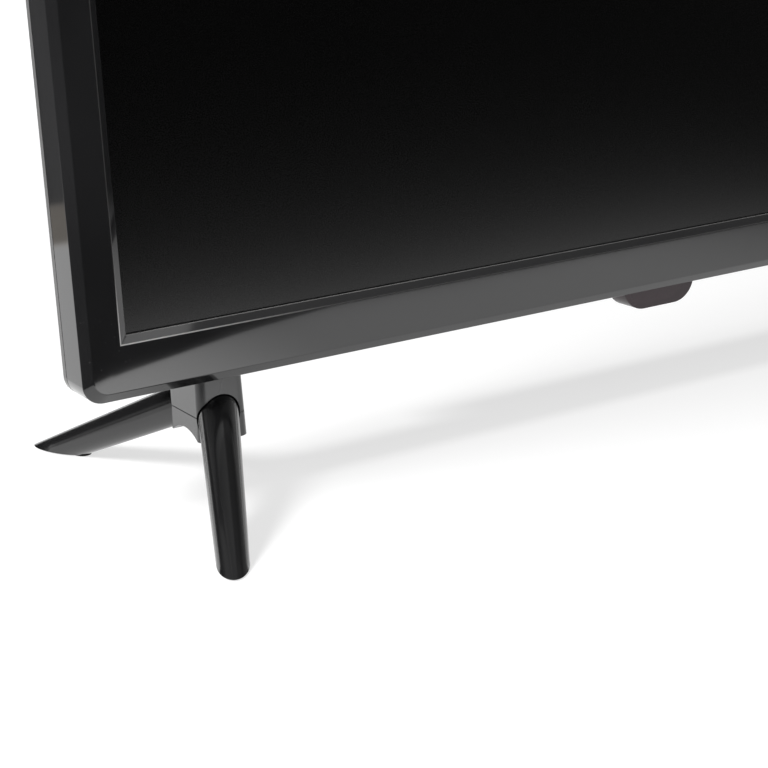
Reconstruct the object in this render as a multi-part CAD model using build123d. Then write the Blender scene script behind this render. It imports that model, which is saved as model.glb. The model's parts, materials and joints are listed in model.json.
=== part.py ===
from build123d import *
import math
import os

# A flat screen television on two splayed two-leg stands.
# Work frame of the cabinet: X to the viewer's right, Y is the depth behind the front face,
# Z is the height above the underside of the cabinet. finish() moves it to the part's frame,
# which stands on the floor at Z 0 with the middle of the stands at X 0, Y 0.

# Cabinet outline, the driving sizes
cabinet_width = 561.0
cabinet_height = 339.0
corner_radius = 8.0
plastic_wall = 2.2
bezel_depth = 17.9
rim_depth = 3.5
plateau_depth = 41.0
rear_box_depth = 56.0

# Front frame details
face_chamfer_width = 3.7
face_chamfer_depth = 2.5
lower_bar = 25.1
top_bar = 19.1
side_bar = 19.1
inner_bevel_width = 3.2
inner_bevel_depth = 2.2
face_thickness = 3.0

# Rear cover details
slope_side_inset = 26.0
slope_top_inset = 30.0
groove_depth = 0.5
groove_width = 0.5
rear_box_width = 300.0
rear_box_height = 137.0
rear_box_top_draft = 8.0
rear_box_radius = 5.0
pocket_width = 36.0
pocket_height = 98.0
pocket_bottom = 36.0
pocket_depth = 34.0
rib_thickness = 1.6
rib_height = 8.0
rib_side_inset = 60.5

# Shared clearances and cutting overrun
fit_clearance = 0.3
thread_clearance = 0.1
overrun = 1.0
quarter_turn = 90

# Cover screws and their bosses
screw_radius = 1.45
screw_head_radius = 2.8
screw_head_height = 2.0
screw_grip = 9.0
screw_land = 2.5
bezel_boss_radius = 3.5
cover_boss_radius = 4.0
counterbore_radius = 3.3
side_boss_inset = 8.2
side_boss_height_shares = (0.18, 0.52, 0.86)
edge_boss_inset = 7.5
top_boss_x_share = 0.22
bottom_boss_x_share = 0.3

# Vents and speaker grilles
vent_slot_width = 3.0
vent_slot_height = 22.0
vent_slot_pitch = 9.0
vent_row_count = 2
vent_column_count = 22
vent_row_pitch = 30.0
vent_centre_height = 284.0
box_vent_count = 14
box_vent_height = 82.0
grille_slot_width = 3.0
grille_slot_depth = 14.0
grille_slot_pitch = 6.5
grille_slot_count = 9

# Wall mount holes
wall_mount_spacing = 100.0
wall_mount_height = 195.0
wall_mount_thread_radius = 2.0
wall_mount_thread_length = 12.0
wall_mount_post_radius = 4.0

# Display panel, front to back
cell_margin = 3.5
cell_thickness = 1.5
mid_frame_wall = 2.0
mid_frame_ledge = 1.0
mid_frame_depth = 9.0
film_thickness = 0.7
diffuser_thickness = 1.5
film_margin = 3.0
tray_back = 23.0
tray_sheet = 0.8
tray_slope = 11.0
tray_flange_margin = 1.4
reflector_thickness = 0.4
led_bar_count = 3
led_bar_height = 14.0
led_bar_thickness = 1.2
led_bar_margin = 30.0
led_lens_count = 6
led_lens_radius = 6.0
led_lens_tip_radius = 3.5
led_lens_height = 4.0

# Panel brackets
bracket_width = 14.0
bracket_sheet = 1.2
bracket_post_radius = 3.0
bracket_post_depth = 15.9
bracket_reach = 4.4
bracket_height_shares = (0.33, 0.7)

# Circuit boards behind the panel
board_thickness = 1.6
board_depth = 38.0
board_gap = 16.0
board_height = 92.0
board_bottom = 38.0
board_edge_gap = 3.5
standoff_radius = 3.5
standoff_inset = 9.0
standoff_low_inset = 19.0
standoff_outer_inset = 34.0
m3_radius = 1.45
m3_head_radius = 2.7
m3_head_height = 1.8
m3_length = 6.0

# Sockets on the main board, each with its size along the board edge, its reach and its height
socket_reach = 16.0
socket_wall = 0.6
socket_clearance = 0.4
hdmi_width = 15.0
hdmi_height = 6.2
usb_width = 14.4
usb_height = 7.2
jack_width = 7.0
jack_height = 7.0
jack_bore_radius = 1.8
tongue_depth_share = 0.2
tongue_width_share = 0.67
tuner_width = 16.0
tuner_height = 9.4
tuner_length = 33.0
tuner_plug_radius = 4.4
tuner_bore_radius = 3.6
tuner_plug_length = 10.0
socket_spacing = 2.4
first_socket_inset = 4.0

# Main board parts
processor_size = 24.0
processor_thickness = 1.4
heatsink_size = 34.0
heatsink_base = 1.6
heatsink_height = 9.0
heatsink_fin = 1.2
heatsink_fin_count = 8
processor_x = 78.0
processor_height = 88.0

# Power board parts
inlet_width = 21.6
inlet_height = 11.6
inlet_reach = 16.0
inlet_wall = 1.6
inlet_pin_radius = 1.1
inlet_pin_spacing = 8.6
inlet_top_inset = 30.0
transformer_width = 28.0
transformer_height = 24.0
transformer_depth = 12.0
transformer_core = 4.0
core_limb_count = 3
transformer_x = 72.0
transformer_centre_height = 84.0
capacitor_radius = 6.2
capacitor_length = 24.0
capacitor_count = 3
capacitor_pitch = 15.0
capacitor_x = 129.0
capacitor_end_inset = 2.6

# Flat cables
ribbon_thickness = 0.6
ribbon_width = 22.0
plug_depth = 4.0
plug_width = 5.0
link_ribbon_height = 92.0
panel_ribbon_x = 40.0
source_board_width = 220.0
source_board_height = 11.0
source_board_bottom = 40.0
source_board_thickness = 1.2

# Speakers
speaker_width = 66.0
speaker_height = 24.0
speaker_depth = 17.0
speaker_boss_gap = 26.3
speaker_front = 27.0
speaker_lift = 3.4
speaker_cone_radius = 9.0
speaker_cone_depth = 3.0
speaker_surround = 1.2
speaker_cap_share = 0.4

# Rear keys
key_count = 7
key_pitch = 14.0
key_radius = 3.5
key_stand_out = 1.2
key_flange_radius = 4.8
key_flange_thickness = 0.8
key_stem_radius = 1.5
key_hole_clearance = 0.4
key_travel = 0.5
key_edge_inset = 16.5
key_centre_height = 190.0
key_crown = 0.5
key_names = (
    "key_power",
    "key_source",
    "key_menu",
    "key_volume_up",
    "key_volume_down",
    "key_channel_up",
    "key_channel_down",
)
key_board_width = 14.0
key_board_end = 14.0
key_board_depth = 29.0
switch_size = 6.0
switch_height = 3.4
switch_plunger_radius = 1.6
switch_plunger_height = 1.2

# Remote control window and its board
window_top_width = 40.0
window_bottom_width = 33.6
window_drop = 8.8
window_corner_radius = 11.5
window_front = 5.0
window_length = 12.0
window_tab_width = 34.0
window_tab_length = 8.0
window_flange = 1.0
window_flange_thickness = 1.0
sensor_board_length = 10.0
sensor_post_radius = 2.2
sensor_post_spacing = 50.0
sensor_board_lift = 5.4
sensor_radius = 3.0
sensor_height = 1.6

# Stands
floor_clearance = 49.6
stand_inset = 59.5
stand_depth_centre = 21.5
apex_inset = 63.8
apex_drop = 10.2
leg_splay = 24.2
leg_slope = 23.0
leg_top_radius = 8.65
leg_foot_radius = 6.15
leg_root = 9.3
leg_overshoot_share = 3.0
foot_lift = 0.5
saddle_length = 29.5
saddle_width = 20.0
saddle_corner_radius = 3.5
saddle_draft = 0.7
saddle_drop = 26.3
saddle_parting = 16.6
saddle_crown = 22.7
saddle_arch_radius = 20.0
hood_clearance = 0.5
seam_width = 0.4
seam_depth = 0.3
peg_radius = 2.0
peg_height = 4.0
peg_spacing = 20.0
peg_offset = 6.0
stand_screw_radius = 2.0
stand_screw_head_radius = 3.6
stand_screw_head_height = 2.4
stand_screw_recess = 4.4
stand_screw_rise = 11.0
stand_insert_radius = 3.2
stand_insert_height = 9.0
stand_boss_width = 12.0
stand_boss_depth = 10.0
stand_boss_height = 12.0
leg_screw_radius = 1.2
leg_screw_head_radius = 2.1
leg_screw_head_height = 1.2
leg_screw_sink = 2.0
leg_screw_length = 10.0
leg_screw_offset = 12.9
pad_length = 20.0
pad_width = 6.4
pad_thickness = 1.6
pad_overhang = 2.6

# Places worked out from the sizes above
half_width = cabinet_width / 2
screen_opening_width = cabinet_width - 2 * side_bar
screen_opening_height = cabinet_height - lower_bar - top_bar
opening_centre = lower_bar + screen_opening_height / 2
rim_start = bezel_depth
rim_end = bezel_depth + rim_depth
plateau_inner = plateau_depth - plastic_wall
box_half_width = rear_box_width / 2
box_inner_half_width = box_half_width - plastic_wall
cell_back = face_thickness + cell_thickness
films_front = cell_back + mid_frame_ledge
diffuser_front = films_front + film_thickness
tray_front = diffuser_front + diffuser_thickness
cell_width = screen_opening_width + 2 * cell_margin
cell_height = screen_opening_height + 2 * cell_margin
film_width = screen_opening_width + 2 * film_margin
film_height = screen_opening_height + 2 * film_margin
mid_frame_width = cell_width + 2 * (fit_clearance + mid_frame_wall)
mid_frame_height = cell_height + 2 * (fit_clearance + mid_frame_wall)
mid_frame_back = face_thickness + mid_frame_depth
tray_floor_width = film_width - 2 * (tray_flange_margin + tray_slope)
tray_floor_height = film_height - 2 * (tray_flange_margin + tray_slope)
board_back = board_depth + board_thickness
board_outer_x = box_inner_half_width - board_edge_gap
board_inner_x = board_gap / 2
board_width = board_outer_x - board_inner_x
board_top = board_bottom + board_height
inlet_centre_height = board_top - inlet_top_inset
capacitor_reach = capacitor_radius + (capacitor_count - 1) * capacitor_pitch / 2
capacitor_height = board_bottom + capacitor_end_inset + capacitor_reach
key_column_x = half_width - slope_side_inset - key_edge_inset
window_mid_depth = window_front + window_length / 2
cover_screw_tip = rim_start - screw_grip
cover_screw_seat = rim_start + screw_land
stand_x = half_width - stand_inset
apex_x = half_width - apex_inset
face_y = -stand_depth_centre


def corner_outline(depth, width, height, centre_height, radius):
    """A rounded rectangle that faces the viewer, at one depth behind the face."""
    plane = Plane(origin=(0, depth, centre_height), x_dir=(1, 0, 0), z_dir=(0, -1, 0))
    if radius > 0:
        return plane * RectangleRounded(width, height, radius)
    return plane * Rectangle(width, height)


def sheet(depth, thickness, width, height, centre_height, radius=0):
    """A flat sheet from one depth towards the back."""
    return extrude(corner_outline(depth, width, height, centre_height, radius), amount=-thickness)


def tapered(depth_a, size_a, depth_b, size_b):
    """A form lofted between two outlines, each given as width, height, centre and radius."""
    return loft([corner_outline(depth_a, *size_a), corner_outline(depth_b, *size_b)], ruled=True)


def block(x, depth, height, width, length, rise):
    """A block centred in X and height that starts at a depth."""
    seat = (Align.CENTER, Align.MIN, Align.CENTER)
    return Pos(x, depth, height) * Box(width, length, rise, align=seat)


def standing_block(x, depth, height, width, length, rise):
    """A block centred in X and depth that stands on a height."""
    seat = (Align.CENTER, Align.CENTER, Align.MIN)
    return Pos(x, depth, height) * Box(width, length, rise, align=seat)


def rod(x, depth, height, radius, length):
    """A round rod along the depth, from its front end."""
    seat = (Align.CENTER, Align.CENTER, Align.MIN)
    return Pos(x, depth, height) * Rot(X=-quarter_turn) * Cylinder(radius, length, align=seat)


def pillar(x, depth, height, radius, rise):
    """A round pillar that stands on a height."""
    seat = (Align.CENTER, Align.CENTER, Align.MIN)
    return Pos(x, depth, height) * Cylinder(radius, rise, align=seat)


def cross_rod(x, depth, height, radius, length):
    """A round rod along X, from its low end."""
    seat = (Align.CENTER, Align.CENTER, Align.MIN)
    return Pos(x, depth, height) * Rot(Y=quarter_turn) * Cylinder(radius, length, align=seat)


def finish(shape):
    """Move a piece from the cabinet's frame to the part's frame."""
    return Pos(0, face_y, floor_clearance) * shape


def save(shape, node):
    """Write one node."""
    export_step(finish(shape), "parts/" + node + ".step")


def cover_screw_places():
    """The X and height of each cover screw, round the edge of the cabinet."""
    places = []
    for side in (-1, 1):
        for share in side_boss_height_shares:
            places.append((side * (half_width - side_boss_inset), cabinet_height * share))
        places.append((side * cabinet_width * top_boss_x_share, cabinet_height - edge_boss_inset))
        places.append((side * cabinet_width * bottom_boss_x_share, edge_boss_inset + fit_clearance))
    return places


def bracket_places():
    """The side and height of each panel bracket."""
    return [(side, cabinet_height * share) for side in (-1, 1) for share in bracket_height_shares]


def bracket_post_x():
    """The distance of a bracket's post from the middle."""
    return half_width - side_boss_inset


def front_bezel():
    """The glossy front frame: chamfered edge, bevelled opening, bosses behind."""
    middle = cabinet_height / 2
    face_width = cabinet_width - 2 * face_chamfer_width
    face_height = cabinet_height - 2 * face_chamfer_width
    face_radius = corner_radius - face_chamfer_width / 2
    face = (face_width, face_height, middle, face_radius)
    body = (cabinet_width, cabinet_height, middle, corner_radius)
    shell = tapered(0, face, face_chamfer_depth, body)
    shell += sheet(face_chamfer_depth, bezel_depth - face_chamfer_depth, *body)
    inner_width = cabinet_width - 2 * plastic_wall
    inner_height = cabinet_height - 2 * plastic_wall
    inner_radius = corner_radius - plastic_wall
    shell -= sheet(face_thickness, bezel_depth, inner_width, inner_height, middle, inner_radius)
    mouth_width = screen_opening_width + 2 * inner_bevel_width
    mouth_height = screen_opening_height + 2 * inner_bevel_width
    mouth = (mouth_width, mouth_height, opening_centre, 0)
    throat = (screen_opening_width, screen_opening_height, opening_centre, 0)
    shell -= tapered(0, mouth, inner_bevel_depth, throat)
    shell -= sheet(0, bezel_depth, *throat)
    for x, height in cover_screw_places():
        shell += rod(x, face_thickness, height, bezel_boss_radius, bezel_depth - face_thickness)
    for x, height in cover_screw_places():
        hole = rod(x, cover_screw_tip, height, screw_radius + thread_clearance, screw_grip + overrun)
        shell -= hole
    post_depth = bracket_post_depth - face_thickness
    for side, height in bracket_places():
        post = rod(side * bracket_post_x(), face_thickness, height, bracket_post_radius, post_depth)
        hole_start = bracket_post_depth - m3_length
        hole_radius = m3_radius + thread_clearance
        post -= rod(side * bracket_post_x(), hole_start, height, hole_radius, m3_length + overrun)
        shell += post
    slot_width = window_tab_width + 2 * fit_clearance
    slot_length = window_tab_length + 2 * fit_clearance
    slot_rise = plastic_wall + 2 * overrun
    shell -= standing_block(0, window_mid_depth, -overrun, slot_width, slot_length, slot_rise)
    post_rise = sensor_board_lift - plastic_wall
    for side in (-1, 1):
        x = side * sensor_post_spacing / 2
        shell += pillar(x, window_mid_depth, plastic_wall, sensor_post_radius, post_rise)
        peg_radius_here = peg_radius + fit_clearance
        shell -= pillar(*peg_place(side, -1), -overrun, peg_radius_here, peg_height + overrun)
    return shell


def cover_form(inset):
    """The outer form of the rear cover, or its inner form when inset by the wall."""
    middle = cabinet_height / 2
    rim = (cabinet_width - 2 * inset, cabinet_height - 2 * inset, middle, corner_radius - inset)
    plateau_height = cabinet_height - slope_top_inset - 2 * inset
    plateau_middle = inset + plateau_height / 2
    plateau_width = cabinet_width - 2 * slope_side_inset - 2 * inset
    plateau = (plateau_width, plateau_height, plateau_middle, corner_radius - inset)
    form = tapered(rim_end, rim, plateau_depth - inset, plateau)
    base_height = rear_box_height - 2 * inset
    base = (rear_box_width - 2 * inset, base_height, inset + base_height / 2, rear_box_radius - inset)
    top_height = base_height - rear_box_top_draft
    top = (rear_box_width - 2 * inset, top_height, inset + top_height / 2, rear_box_radius - inset)
    box_start = plateau_depth - plastic_wall - overrun
    form += sheet(box_start, plateau_depth - box_start, *base)
    form += tapered(plateau_depth, base, rear_box_depth - inset, top)
    return form, rim


def pocket_block(side, growth):
    """The recess beside the rear box that the plugs reach through."""
    low_x = box_half_width - growth
    width = pocket_width + 2 * growth
    x = side * (low_x + width / 2)
    length = rear_box_depth
    middle = pocket_bottom + pocket_height / 2
    return block(x, pocket_depth - growth, middle, width, length, pocket_height + 2 * growth)


def cover_shell():
    """The thin wall of the rear cover, with its rim and the parting groove."""
    outer, rim = cover_form(0)
    width, height, middle, radius = rim
    outer += sheet(rim_start + groove_width, rim_depth - groove_width, *rim)
    lip = (width - 2 * groove_depth, height - 2 * groove_depth, middle, radius - groove_depth)
    outer += sheet(rim_start, groove_width, *lip)
    inner, inner_rim = cover_form(plastic_wall)
    inner += sheet(rim_start - overrun, rim_depth + overrun, *inner_rim)
    for side in (-1, 1):
        outer -= pocket_block(side, 0)
        inner -= pocket_block(side, plastic_wall)
    return outer, inner


def cover_bosses(outer):
    """Screw bosses, stand bosses and key board posts, trimmed to the outer form."""
    bosses = []
    for x, height in cover_screw_places():
        tube = rod(x, rim_start, height, cover_boss_radius, rear_box_depth - rim_start)
        bosses.append(tube & outer)
    for side in (-1, 1):
        start = rim_start + fit_clearance
        rise = stand_boss_height
        centre = plastic_wall + rise / 2
        bosses.append(block(side * stand_x, start, centre, stand_boss_width, stand_boss_depth, rise))
    post_start = key_board_depth + board_thickness
    for height in key_board_screw_heights():
        bosses.append(rod(key_column_x, post_start, height, standoff_radius, plateau_inner - post_start))
    return bosses


def cover_ribs():
    """Stiffening ribs behind the slope, above the rear box."""
    ribs = []
    rib_top = cabinet_height - slope_top_inset - rib_height
    rib_bottom = rear_box_height + rib_height
    middle = (rib_top + rib_bottom) / 2
    rise = rib_top - rib_bottom
    for side in (-1, 1):
        x = side * (half_width - slope_side_inset - rib_side_inset)
        ribs.append(block(x, plateau_inner - rib_height, middle, rib_thickness, rib_height, rise))
    return ribs


def vent_slots():
    """Rows of slots over the boards and over the panel's back."""
    slots = []
    length = plastic_wall + 2 * overrun
    for row in range(vent_row_count):
        height = vent_centre_height + (row - (vent_row_count - 1) / 2) * vent_row_pitch
        for column in range(vent_column_count):
            x = (column - (vent_column_count - 1) / 2) * vent_slot_pitch
            start = plateau_inner - overrun
            slots.append(block(x, start, height, vent_slot_width, length, vent_slot_height))
    for column in range(box_vent_count):
        x = (column - (box_vent_count - 1) / 2) * vent_slot_pitch
        start = rear_box_depth - plastic_wall - overrun
        slots.append(block(x, start, box_vent_height, vent_slot_width, length, vent_slot_height))
    return slots


def speaker_x():
    """The distance of a speaker's middle from the middle of the set."""
    boss_edge = cabinet_width * bottom_boss_x_share - cover_boss_radius
    return boss_edge - speaker_boss_gap - speaker_width / 2


def grille_slots():
    """Slots in the underside below each speaker."""
    slots = []
    depth = speaker_front + speaker_depth / 2
    for side in (-1, 1):
        for index in range(grille_slot_count):
            step = (index - (grille_slot_count - 1) / 2) * grille_slot_pitch
            x = side * speaker_x() + step
            rise = plastic_wall + 2 * overrun
            slots.append(standing_block(x, depth, -overrun, grille_slot_width, grille_slot_depth, rise))
    return slots


def rear_cover():
    """The moulded back: rim, slopes, plateau, raised box, recesses, vents and bosses."""
    outer, inner = cover_shell()
    cover = outer - inner
    cover += cover_bosses(outer)
    cover += cover_ribs()
    cutters = vent_slots() + grille_slots()
    for x, height in cover_screw_places():
        start = rim_start - overrun
        cutters.append(rod(x, start, height, screw_radius + fit_clearance, screw_land + 2 * overrun))
        cutters.append(rod(x, cover_screw_seat, height, counterbore_radius, rear_box_depth))
    for x, height in wall_mount_places():
        start = plateau_inner - overrun
        radius = wall_mount_post_radius + fit_clearance
        cutters.append(rod(x, start, height, radius, plastic_wall + 2 * overrun))
    for height in key_heights():
        start = plateau_inner - overrun
        radius = key_radius + key_hole_clearance
        cutters.append(rod(key_column_x, start, height, radius, plastic_wall + 2 * overrun))
    for height in key_board_screw_heights():
        start = key_board_depth
        radius = m3_radius + thread_clearance
        cutters.append(rod(key_column_x, start, height, radius, board_thickness + m3_length))
    for side in (-1, 1):
        radius = peg_radius + fit_clearance
        cutters.append(pillar(*peg_place(side, 1), -overrun, radius, peg_height + overrun))
        radius = stand_screw_radius + fit_clearance
        depth = stand_depth_centre
        rise = plastic_wall + stand_boss_height + 2 * overrun
        cutters.append(pillar(side * stand_x, depth, -overrun, radius, rise))
        cutters.append(stand_insert_body(side))
    for low, high, centre, face_height in socket_places():
        cutters.append(socket_cut(1, centre, high - low, face_height))
    cutters.append(socket_cut(-1, inlet_centre_height, inlet_width, inlet_height))
    return cover - cutters


def socket_cut(side, centre, width, face_height):
    """An opening for one socket through the side wall of the rear box."""
    x = side * (box_half_width - plastic_wall / 2)
    through = plastic_wall + 2 * overrun
    length = face_height + socket_clearance
    rise = width + 2 * socket_clearance
    return block(x, board_back, centre, through, length, rise)


def cover_screws():
    """The screws that hold the back to the front frame."""
    screws = []
    for x, height in cover_screw_places():
        shaft = rod(x, cover_screw_tip, height, screw_radius, screw_grip + screw_land)
        head = rod(x, cover_screw_seat, height, screw_head_radius, screw_head_height)
        screws.append(shaft + head)
    return Part() + screws


def wall_mount_places():
    """The four corners of the wall mount pattern."""
    half = wall_mount_spacing / 2
    return [(x * half, wall_mount_height + z * half) for x in (-1, 1) for z in (-1, 1)]


def wall_mount_posts():
    """Threaded posts on the panel's back that the wall mount screws into."""
    posts = []
    for x, height in wall_mount_places():
        post = rod(x, tray_back, height, wall_mount_post_radius, plateau_depth - tray_back)
        start = plateau_depth - wall_mount_thread_length
        bore = rod(x, start, height, wall_mount_thread_radius, wall_mount_thread_length + overrun)
        posts.append(post - bore)
    return Part() + posts


def lcd_cell():
    """The glass display cell."""
    return sheet(face_thickness, cell_thickness, cell_width, cell_height, opening_centre)


def panel_mid_frame():
    """The plastic frame that holds the cell in front and the films behind."""
    frame = sheet(face_thickness, mid_frame_depth, mid_frame_width, mid_frame_height, opening_centre)
    pocket_width_here = cell_width + 2 * fit_clearance
    pocket_height_here = cell_height + 2 * fit_clearance
    frame -= sheet(face_thickness, cell_thickness, pocket_width_here, pocket_height_here, opening_centre)
    window_width = screen_opening_width + mid_frame_ledge
    window_height = screen_opening_height + mid_frame_ledge
    frame -= sheet(face_thickness, mid_frame_depth, window_width, window_height, opening_centre)
    back_width = film_width + 2 * fit_clearance
    back_height = film_height + 2 * fit_clearance
    frame -= sheet(films_front, mid_frame_depth, back_width, back_height, opening_centre)
    return frame


def optical_films():
    """The stack of brightness films behind the cell."""
    return sheet(films_front, film_thickness, film_width, film_height, opening_centre)


def diffuser_plate():
    """The milky plate that spreads the light of the lamps."""
    return sheet(diffuser_front, diffuser_thickness, film_width, film_height, opening_centre)


def pan_form(inset, back):
    """The sloped pan shape that the tray and the reflector share."""
    mouth_width = film_width - 2 * tray_flange_margin - 2 * inset
    mouth_height = film_height - 2 * tray_flange_margin - 2 * inset
    floor_width = tray_floor_width - 2 * inset
    floor_height = tray_floor_height - 2 * inset
    mouth = (mouth_width, mouth_height, opening_centre, 0)
    floor = (floor_width, floor_height, opening_centre, 0)
    return tapered(tray_front, mouth, back, floor)


def backlight_tray():
    """The pressed steel tray with its standoffs for the boards."""
    tray = pan_form(0, tray_back)
    tray += sheet(tray_front, tray_sheet, film_width, film_height, opening_centre)
    tray -= pan_form(tray_sheet, tray_back - tray_sheet)
    for x, height in board_screw_places():
        post = rod(x, tray_back, height, standoff_radius, board_depth - tray_back)
        start = board_depth - m3_length
        post -= rod(x, start, height, m3_radius + thread_clearance, m3_length + overrun)
        tray += post
    return tray


def reflector_sheet():
    """The white reflector that lines the tray."""
    inner = tray_sheet + reflector_thickness
    lining = pan_form(tray_sheet, tray_back - tray_sheet)
    return lining - pan_form(inner, tray_back - inner)


def led_bar_heights():
    """The height of each lamp bar."""
    pitch = tray_floor_height / led_bar_count
    return [opening_centre + (index - (led_bar_count - 1) / 2) * pitch for index in range(led_bar_count)]


def led_bar_front():
    """The depth of the front of a lamp bar."""
    return tray_back - tray_sheet - reflector_thickness - led_bar_thickness


def led_bars():
    """Lamp strips that lie on the reflector."""
    length = tray_floor_width - 2 * led_bar_margin
    start = led_bar_front()
    bars = []
    for height in led_bar_heights():
        bars.append(block(0, start, height, length, led_bar_thickness, led_bar_height))
    return Part() + bars


def led_lenses():
    """Lens caps over the lamps, each a dished cone."""
    seat = (Align.CENTER, Align.CENTER, Align.MIN)
    lenses = []
    pitch = (tray_floor_width - 2 * led_bar_margin) / led_lens_count
    for height in led_bar_heights():
        for index in range(led_lens_count):
            x = (index - (led_lens_count - 1) / 2) * pitch
            cone = Cone(led_lens_radius, led_lens_tip_radius, led_lens_height, align=seat)
            lenses.append(Pos(x, led_bar_front(), height) * Rot(X=quarter_turn) * cone)
    return Part() + lenses


def panel_brackets():
    """Folded steel brackets that press the panel against the front frame."""
    brackets = []
    step = bracket_post_depth - mid_frame_back
    frame_edge = mid_frame_width / 2
    inner_x = frame_edge - bracket_reach
    outer_x = bracket_post_x() + bracket_post_radius
    riser_x = bracket_post_x() - bracket_post_radius - bracket_sheet
    for side, height in bracket_places():
        foot = riser_x + bracket_sheet - inner_x
        flat = outer_x - riser_x
        foot_x = side * (inner_x + foot / 2)
        flat_x = side * (riser_x + flat / 2)
        riser_middle = side * (riser_x + bracket_sheet / 2)
        bracket = block(foot_x, mid_frame_back, height, foot, bracket_sheet, bracket_width)
        riser_length = step + bracket_sheet
        bracket += block(riser_middle, mid_frame_back, height, bracket_sheet, riser_length, bracket_width)
        bracket += block(flat_x, bracket_post_depth, height, flat, bracket_sheet, bracket_width)
        hole_radius = m3_radius + fit_clearance
        start = bracket_post_depth - overrun
        hole = rod(side * bracket_post_x(), start, height, hole_radius, bracket_sheet + 2 * overrun)
        brackets.append(bracket - hole)
    return Part() + brackets


def board_screw_places():
    """The X and height of each board screw, four to a board."""
    places = []
    for side in (-1, 1):
        for x in (board_inner_x + standoff_inset, board_outer_x - standoff_outer_inset):
            for height in (board_bottom + standoff_low_inset, board_top - standoff_inset):
                places.append((side * x, height))
    return places


def m3_screw(x, seat_depth, height):
    """One small machine screw that points to the front."""
    shaft = rod(x, seat_depth - m3_length, height, m3_radius, m3_length)
    return shaft + rod(x, seat_depth, height, m3_head_radius, m3_head_height)


def board_screws():
    """The small screws that hold the boards and the panel brackets."""
    screws = [m3_screw(x, board_back, height) for x, height in board_screw_places()]
    for side, height in bracket_places():
        screws.append(m3_screw(side * bracket_post_x(), bracket_post_depth + bracket_sheet, height))
    return Part() + screws


def circuit_board(side):
    """One board with its screw holes, on the viewer's left or right."""
    x = side * (board_inner_x + board_width / 2)
    middle = board_bottom + board_height / 2
    board = block(x, board_depth, middle, board_width, board_thickness, board_height)
    for place_x, height in board_screw_places():
        radius = m3_radius + thread_clearance
        board -= rod(place_x, board_depth - overrun, height, radius, board_thickness + 2 * overrun)
    return board


def socket_places():
    """Low end, high end, centre and face height of each socket along the board's edge."""
    places = []
    low = board_bottom + first_socket_inset
    for width, face_height in (
        (jack_width, jack_height),
        (jack_width, jack_height),
        (usb_width, usb_height),
        (hdmi_width, hdmi_height),
        (hdmi_width, hdmi_height),
    ):
        places.append((low, low + width, low + width / 2, face_height))
        low += width + socket_spacing
    places.append((low, low + tuner_width, low + tuner_width / 2, tuner_height))
    return places


def socket_shell(place):
    """A sheet metal socket that is open towards the side."""
    low, high, centre, face_height = place
    x = box_half_width - socket_reach / 2
    shell = block(x, board_back, centre, socket_reach, face_height, high - low)
    mouth_x = x + socket_wall * 2
    mouth_length = face_height - 2 * socket_wall
    mouth_rise = high - low - 2 * socket_wall
    return shell - block(mouth_x, board_back + socket_wall, centre, socket_reach, mouth_length, mouth_rise)


def socket_tongue(place):
    """The contact blade inside a socket."""
    low, high, centre, face_height = place
    length = face_height * tongue_depth_share
    x = box_half_width - socket_reach / 2
    start = board_back + (face_height - length) / 2
    rise = (high - low) * tongue_width_share
    return block(x, start, centre, socket_reach - 2 * socket_wall, length, rise)


def jack_socket(place):
    """A round audio jack in a block."""
    low, high, centre, face_height = place
    x = box_half_width - socket_reach / 2
    body = block(x, board_back, centre, socket_reach, face_height, high - low)
    bore_start = box_half_width - socket_reach + socket_wall * 2
    return body - cross_rod(bore_start, board_back + face_height / 2, centre, jack_bore_radius, socket_reach)


def tuner_can():
    """The tuner box with its round aerial socket."""
    low, high, centre, face_height = socket_places()[-1]
    x = box_half_width - plastic_wall - fit_clearance - tuner_length / 2
    can = block(x, board_back, centre, tuner_length, face_height, high - low)
    start = box_half_width - plastic_wall - fit_clearance
    depth = board_back + face_height / 2
    can += cross_rod(start, depth, centre, tuner_plug_radius, tuner_plug_length)
    return can - cross_rod(start, depth, centre, tuner_bore_radius, tuner_plug_length + overrun)


def processor():
    """The main chip."""
    size = processor_size
    return block(processor_x, board_back, processor_height, size, processor_thickness, size)


def heatsink():
    """The finned cooler on the main chip."""
    start = board_back + processor_thickness
    cooler = block(processor_x, start, processor_height, heatsink_size, heatsink_base, heatsink_size)
    pitch = (heatsink_size - heatsink_fin) / (heatsink_fin_count - 1)
    for index in range(heatsink_fin_count):
        x = processor_x - heatsink_size / 2 + heatsink_fin / 2 + index * pitch
        fin_start = start + heatsink_base
        length = heatsink_height - heatsink_base
        cooler += block(x, fin_start, processor_height, heatsink_fin, length, heatsink_size)
    return cooler


def mains_inlet():
    """The two-pin inlet, with its figure-of-eight mouth towards the side."""
    x = -(box_half_width - inlet_reach / 2)
    body = block(x, board_back, inlet_centre_height, inlet_reach, inlet_height, inlet_width)
    depth = board_back + inlet_height / 2
    bore_radius = inlet_height / 2 - inlet_wall
    bore_length = inlet_reach - inlet_wall + overrun
    bore_start = -box_half_width - overrun
    for side in (-1, 1):
        height = inlet_centre_height + side * (inlet_width / 2 - inlet_wall - bore_radius)
        body -= cross_rod(bore_start, depth, height, bore_radius, bore_length)
    bridge_x = bore_start + bore_length / 2
    bridge_rise = inlet_width - 2 * inlet_wall - 2 * bore_radius
    bridge_start = depth - bore_radius / 2
    return body - block(bridge_x, bridge_start, inlet_centre_height, bore_length, bore_radius, bridge_rise)


def inlet_pins():
    """The two contact pins in the inlet."""
    pins = []
    depth = board_back + inlet_height / 2
    length = inlet_reach - 2 * inlet_wall
    start = inlet_wall - box_half_width
    for side in (-1, 1):
        height = inlet_centre_height + side * inlet_pin_spacing / 2
        pins.append(cross_rod(start, depth, height, inlet_pin_radius, length))
    return Part() + pins


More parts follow.
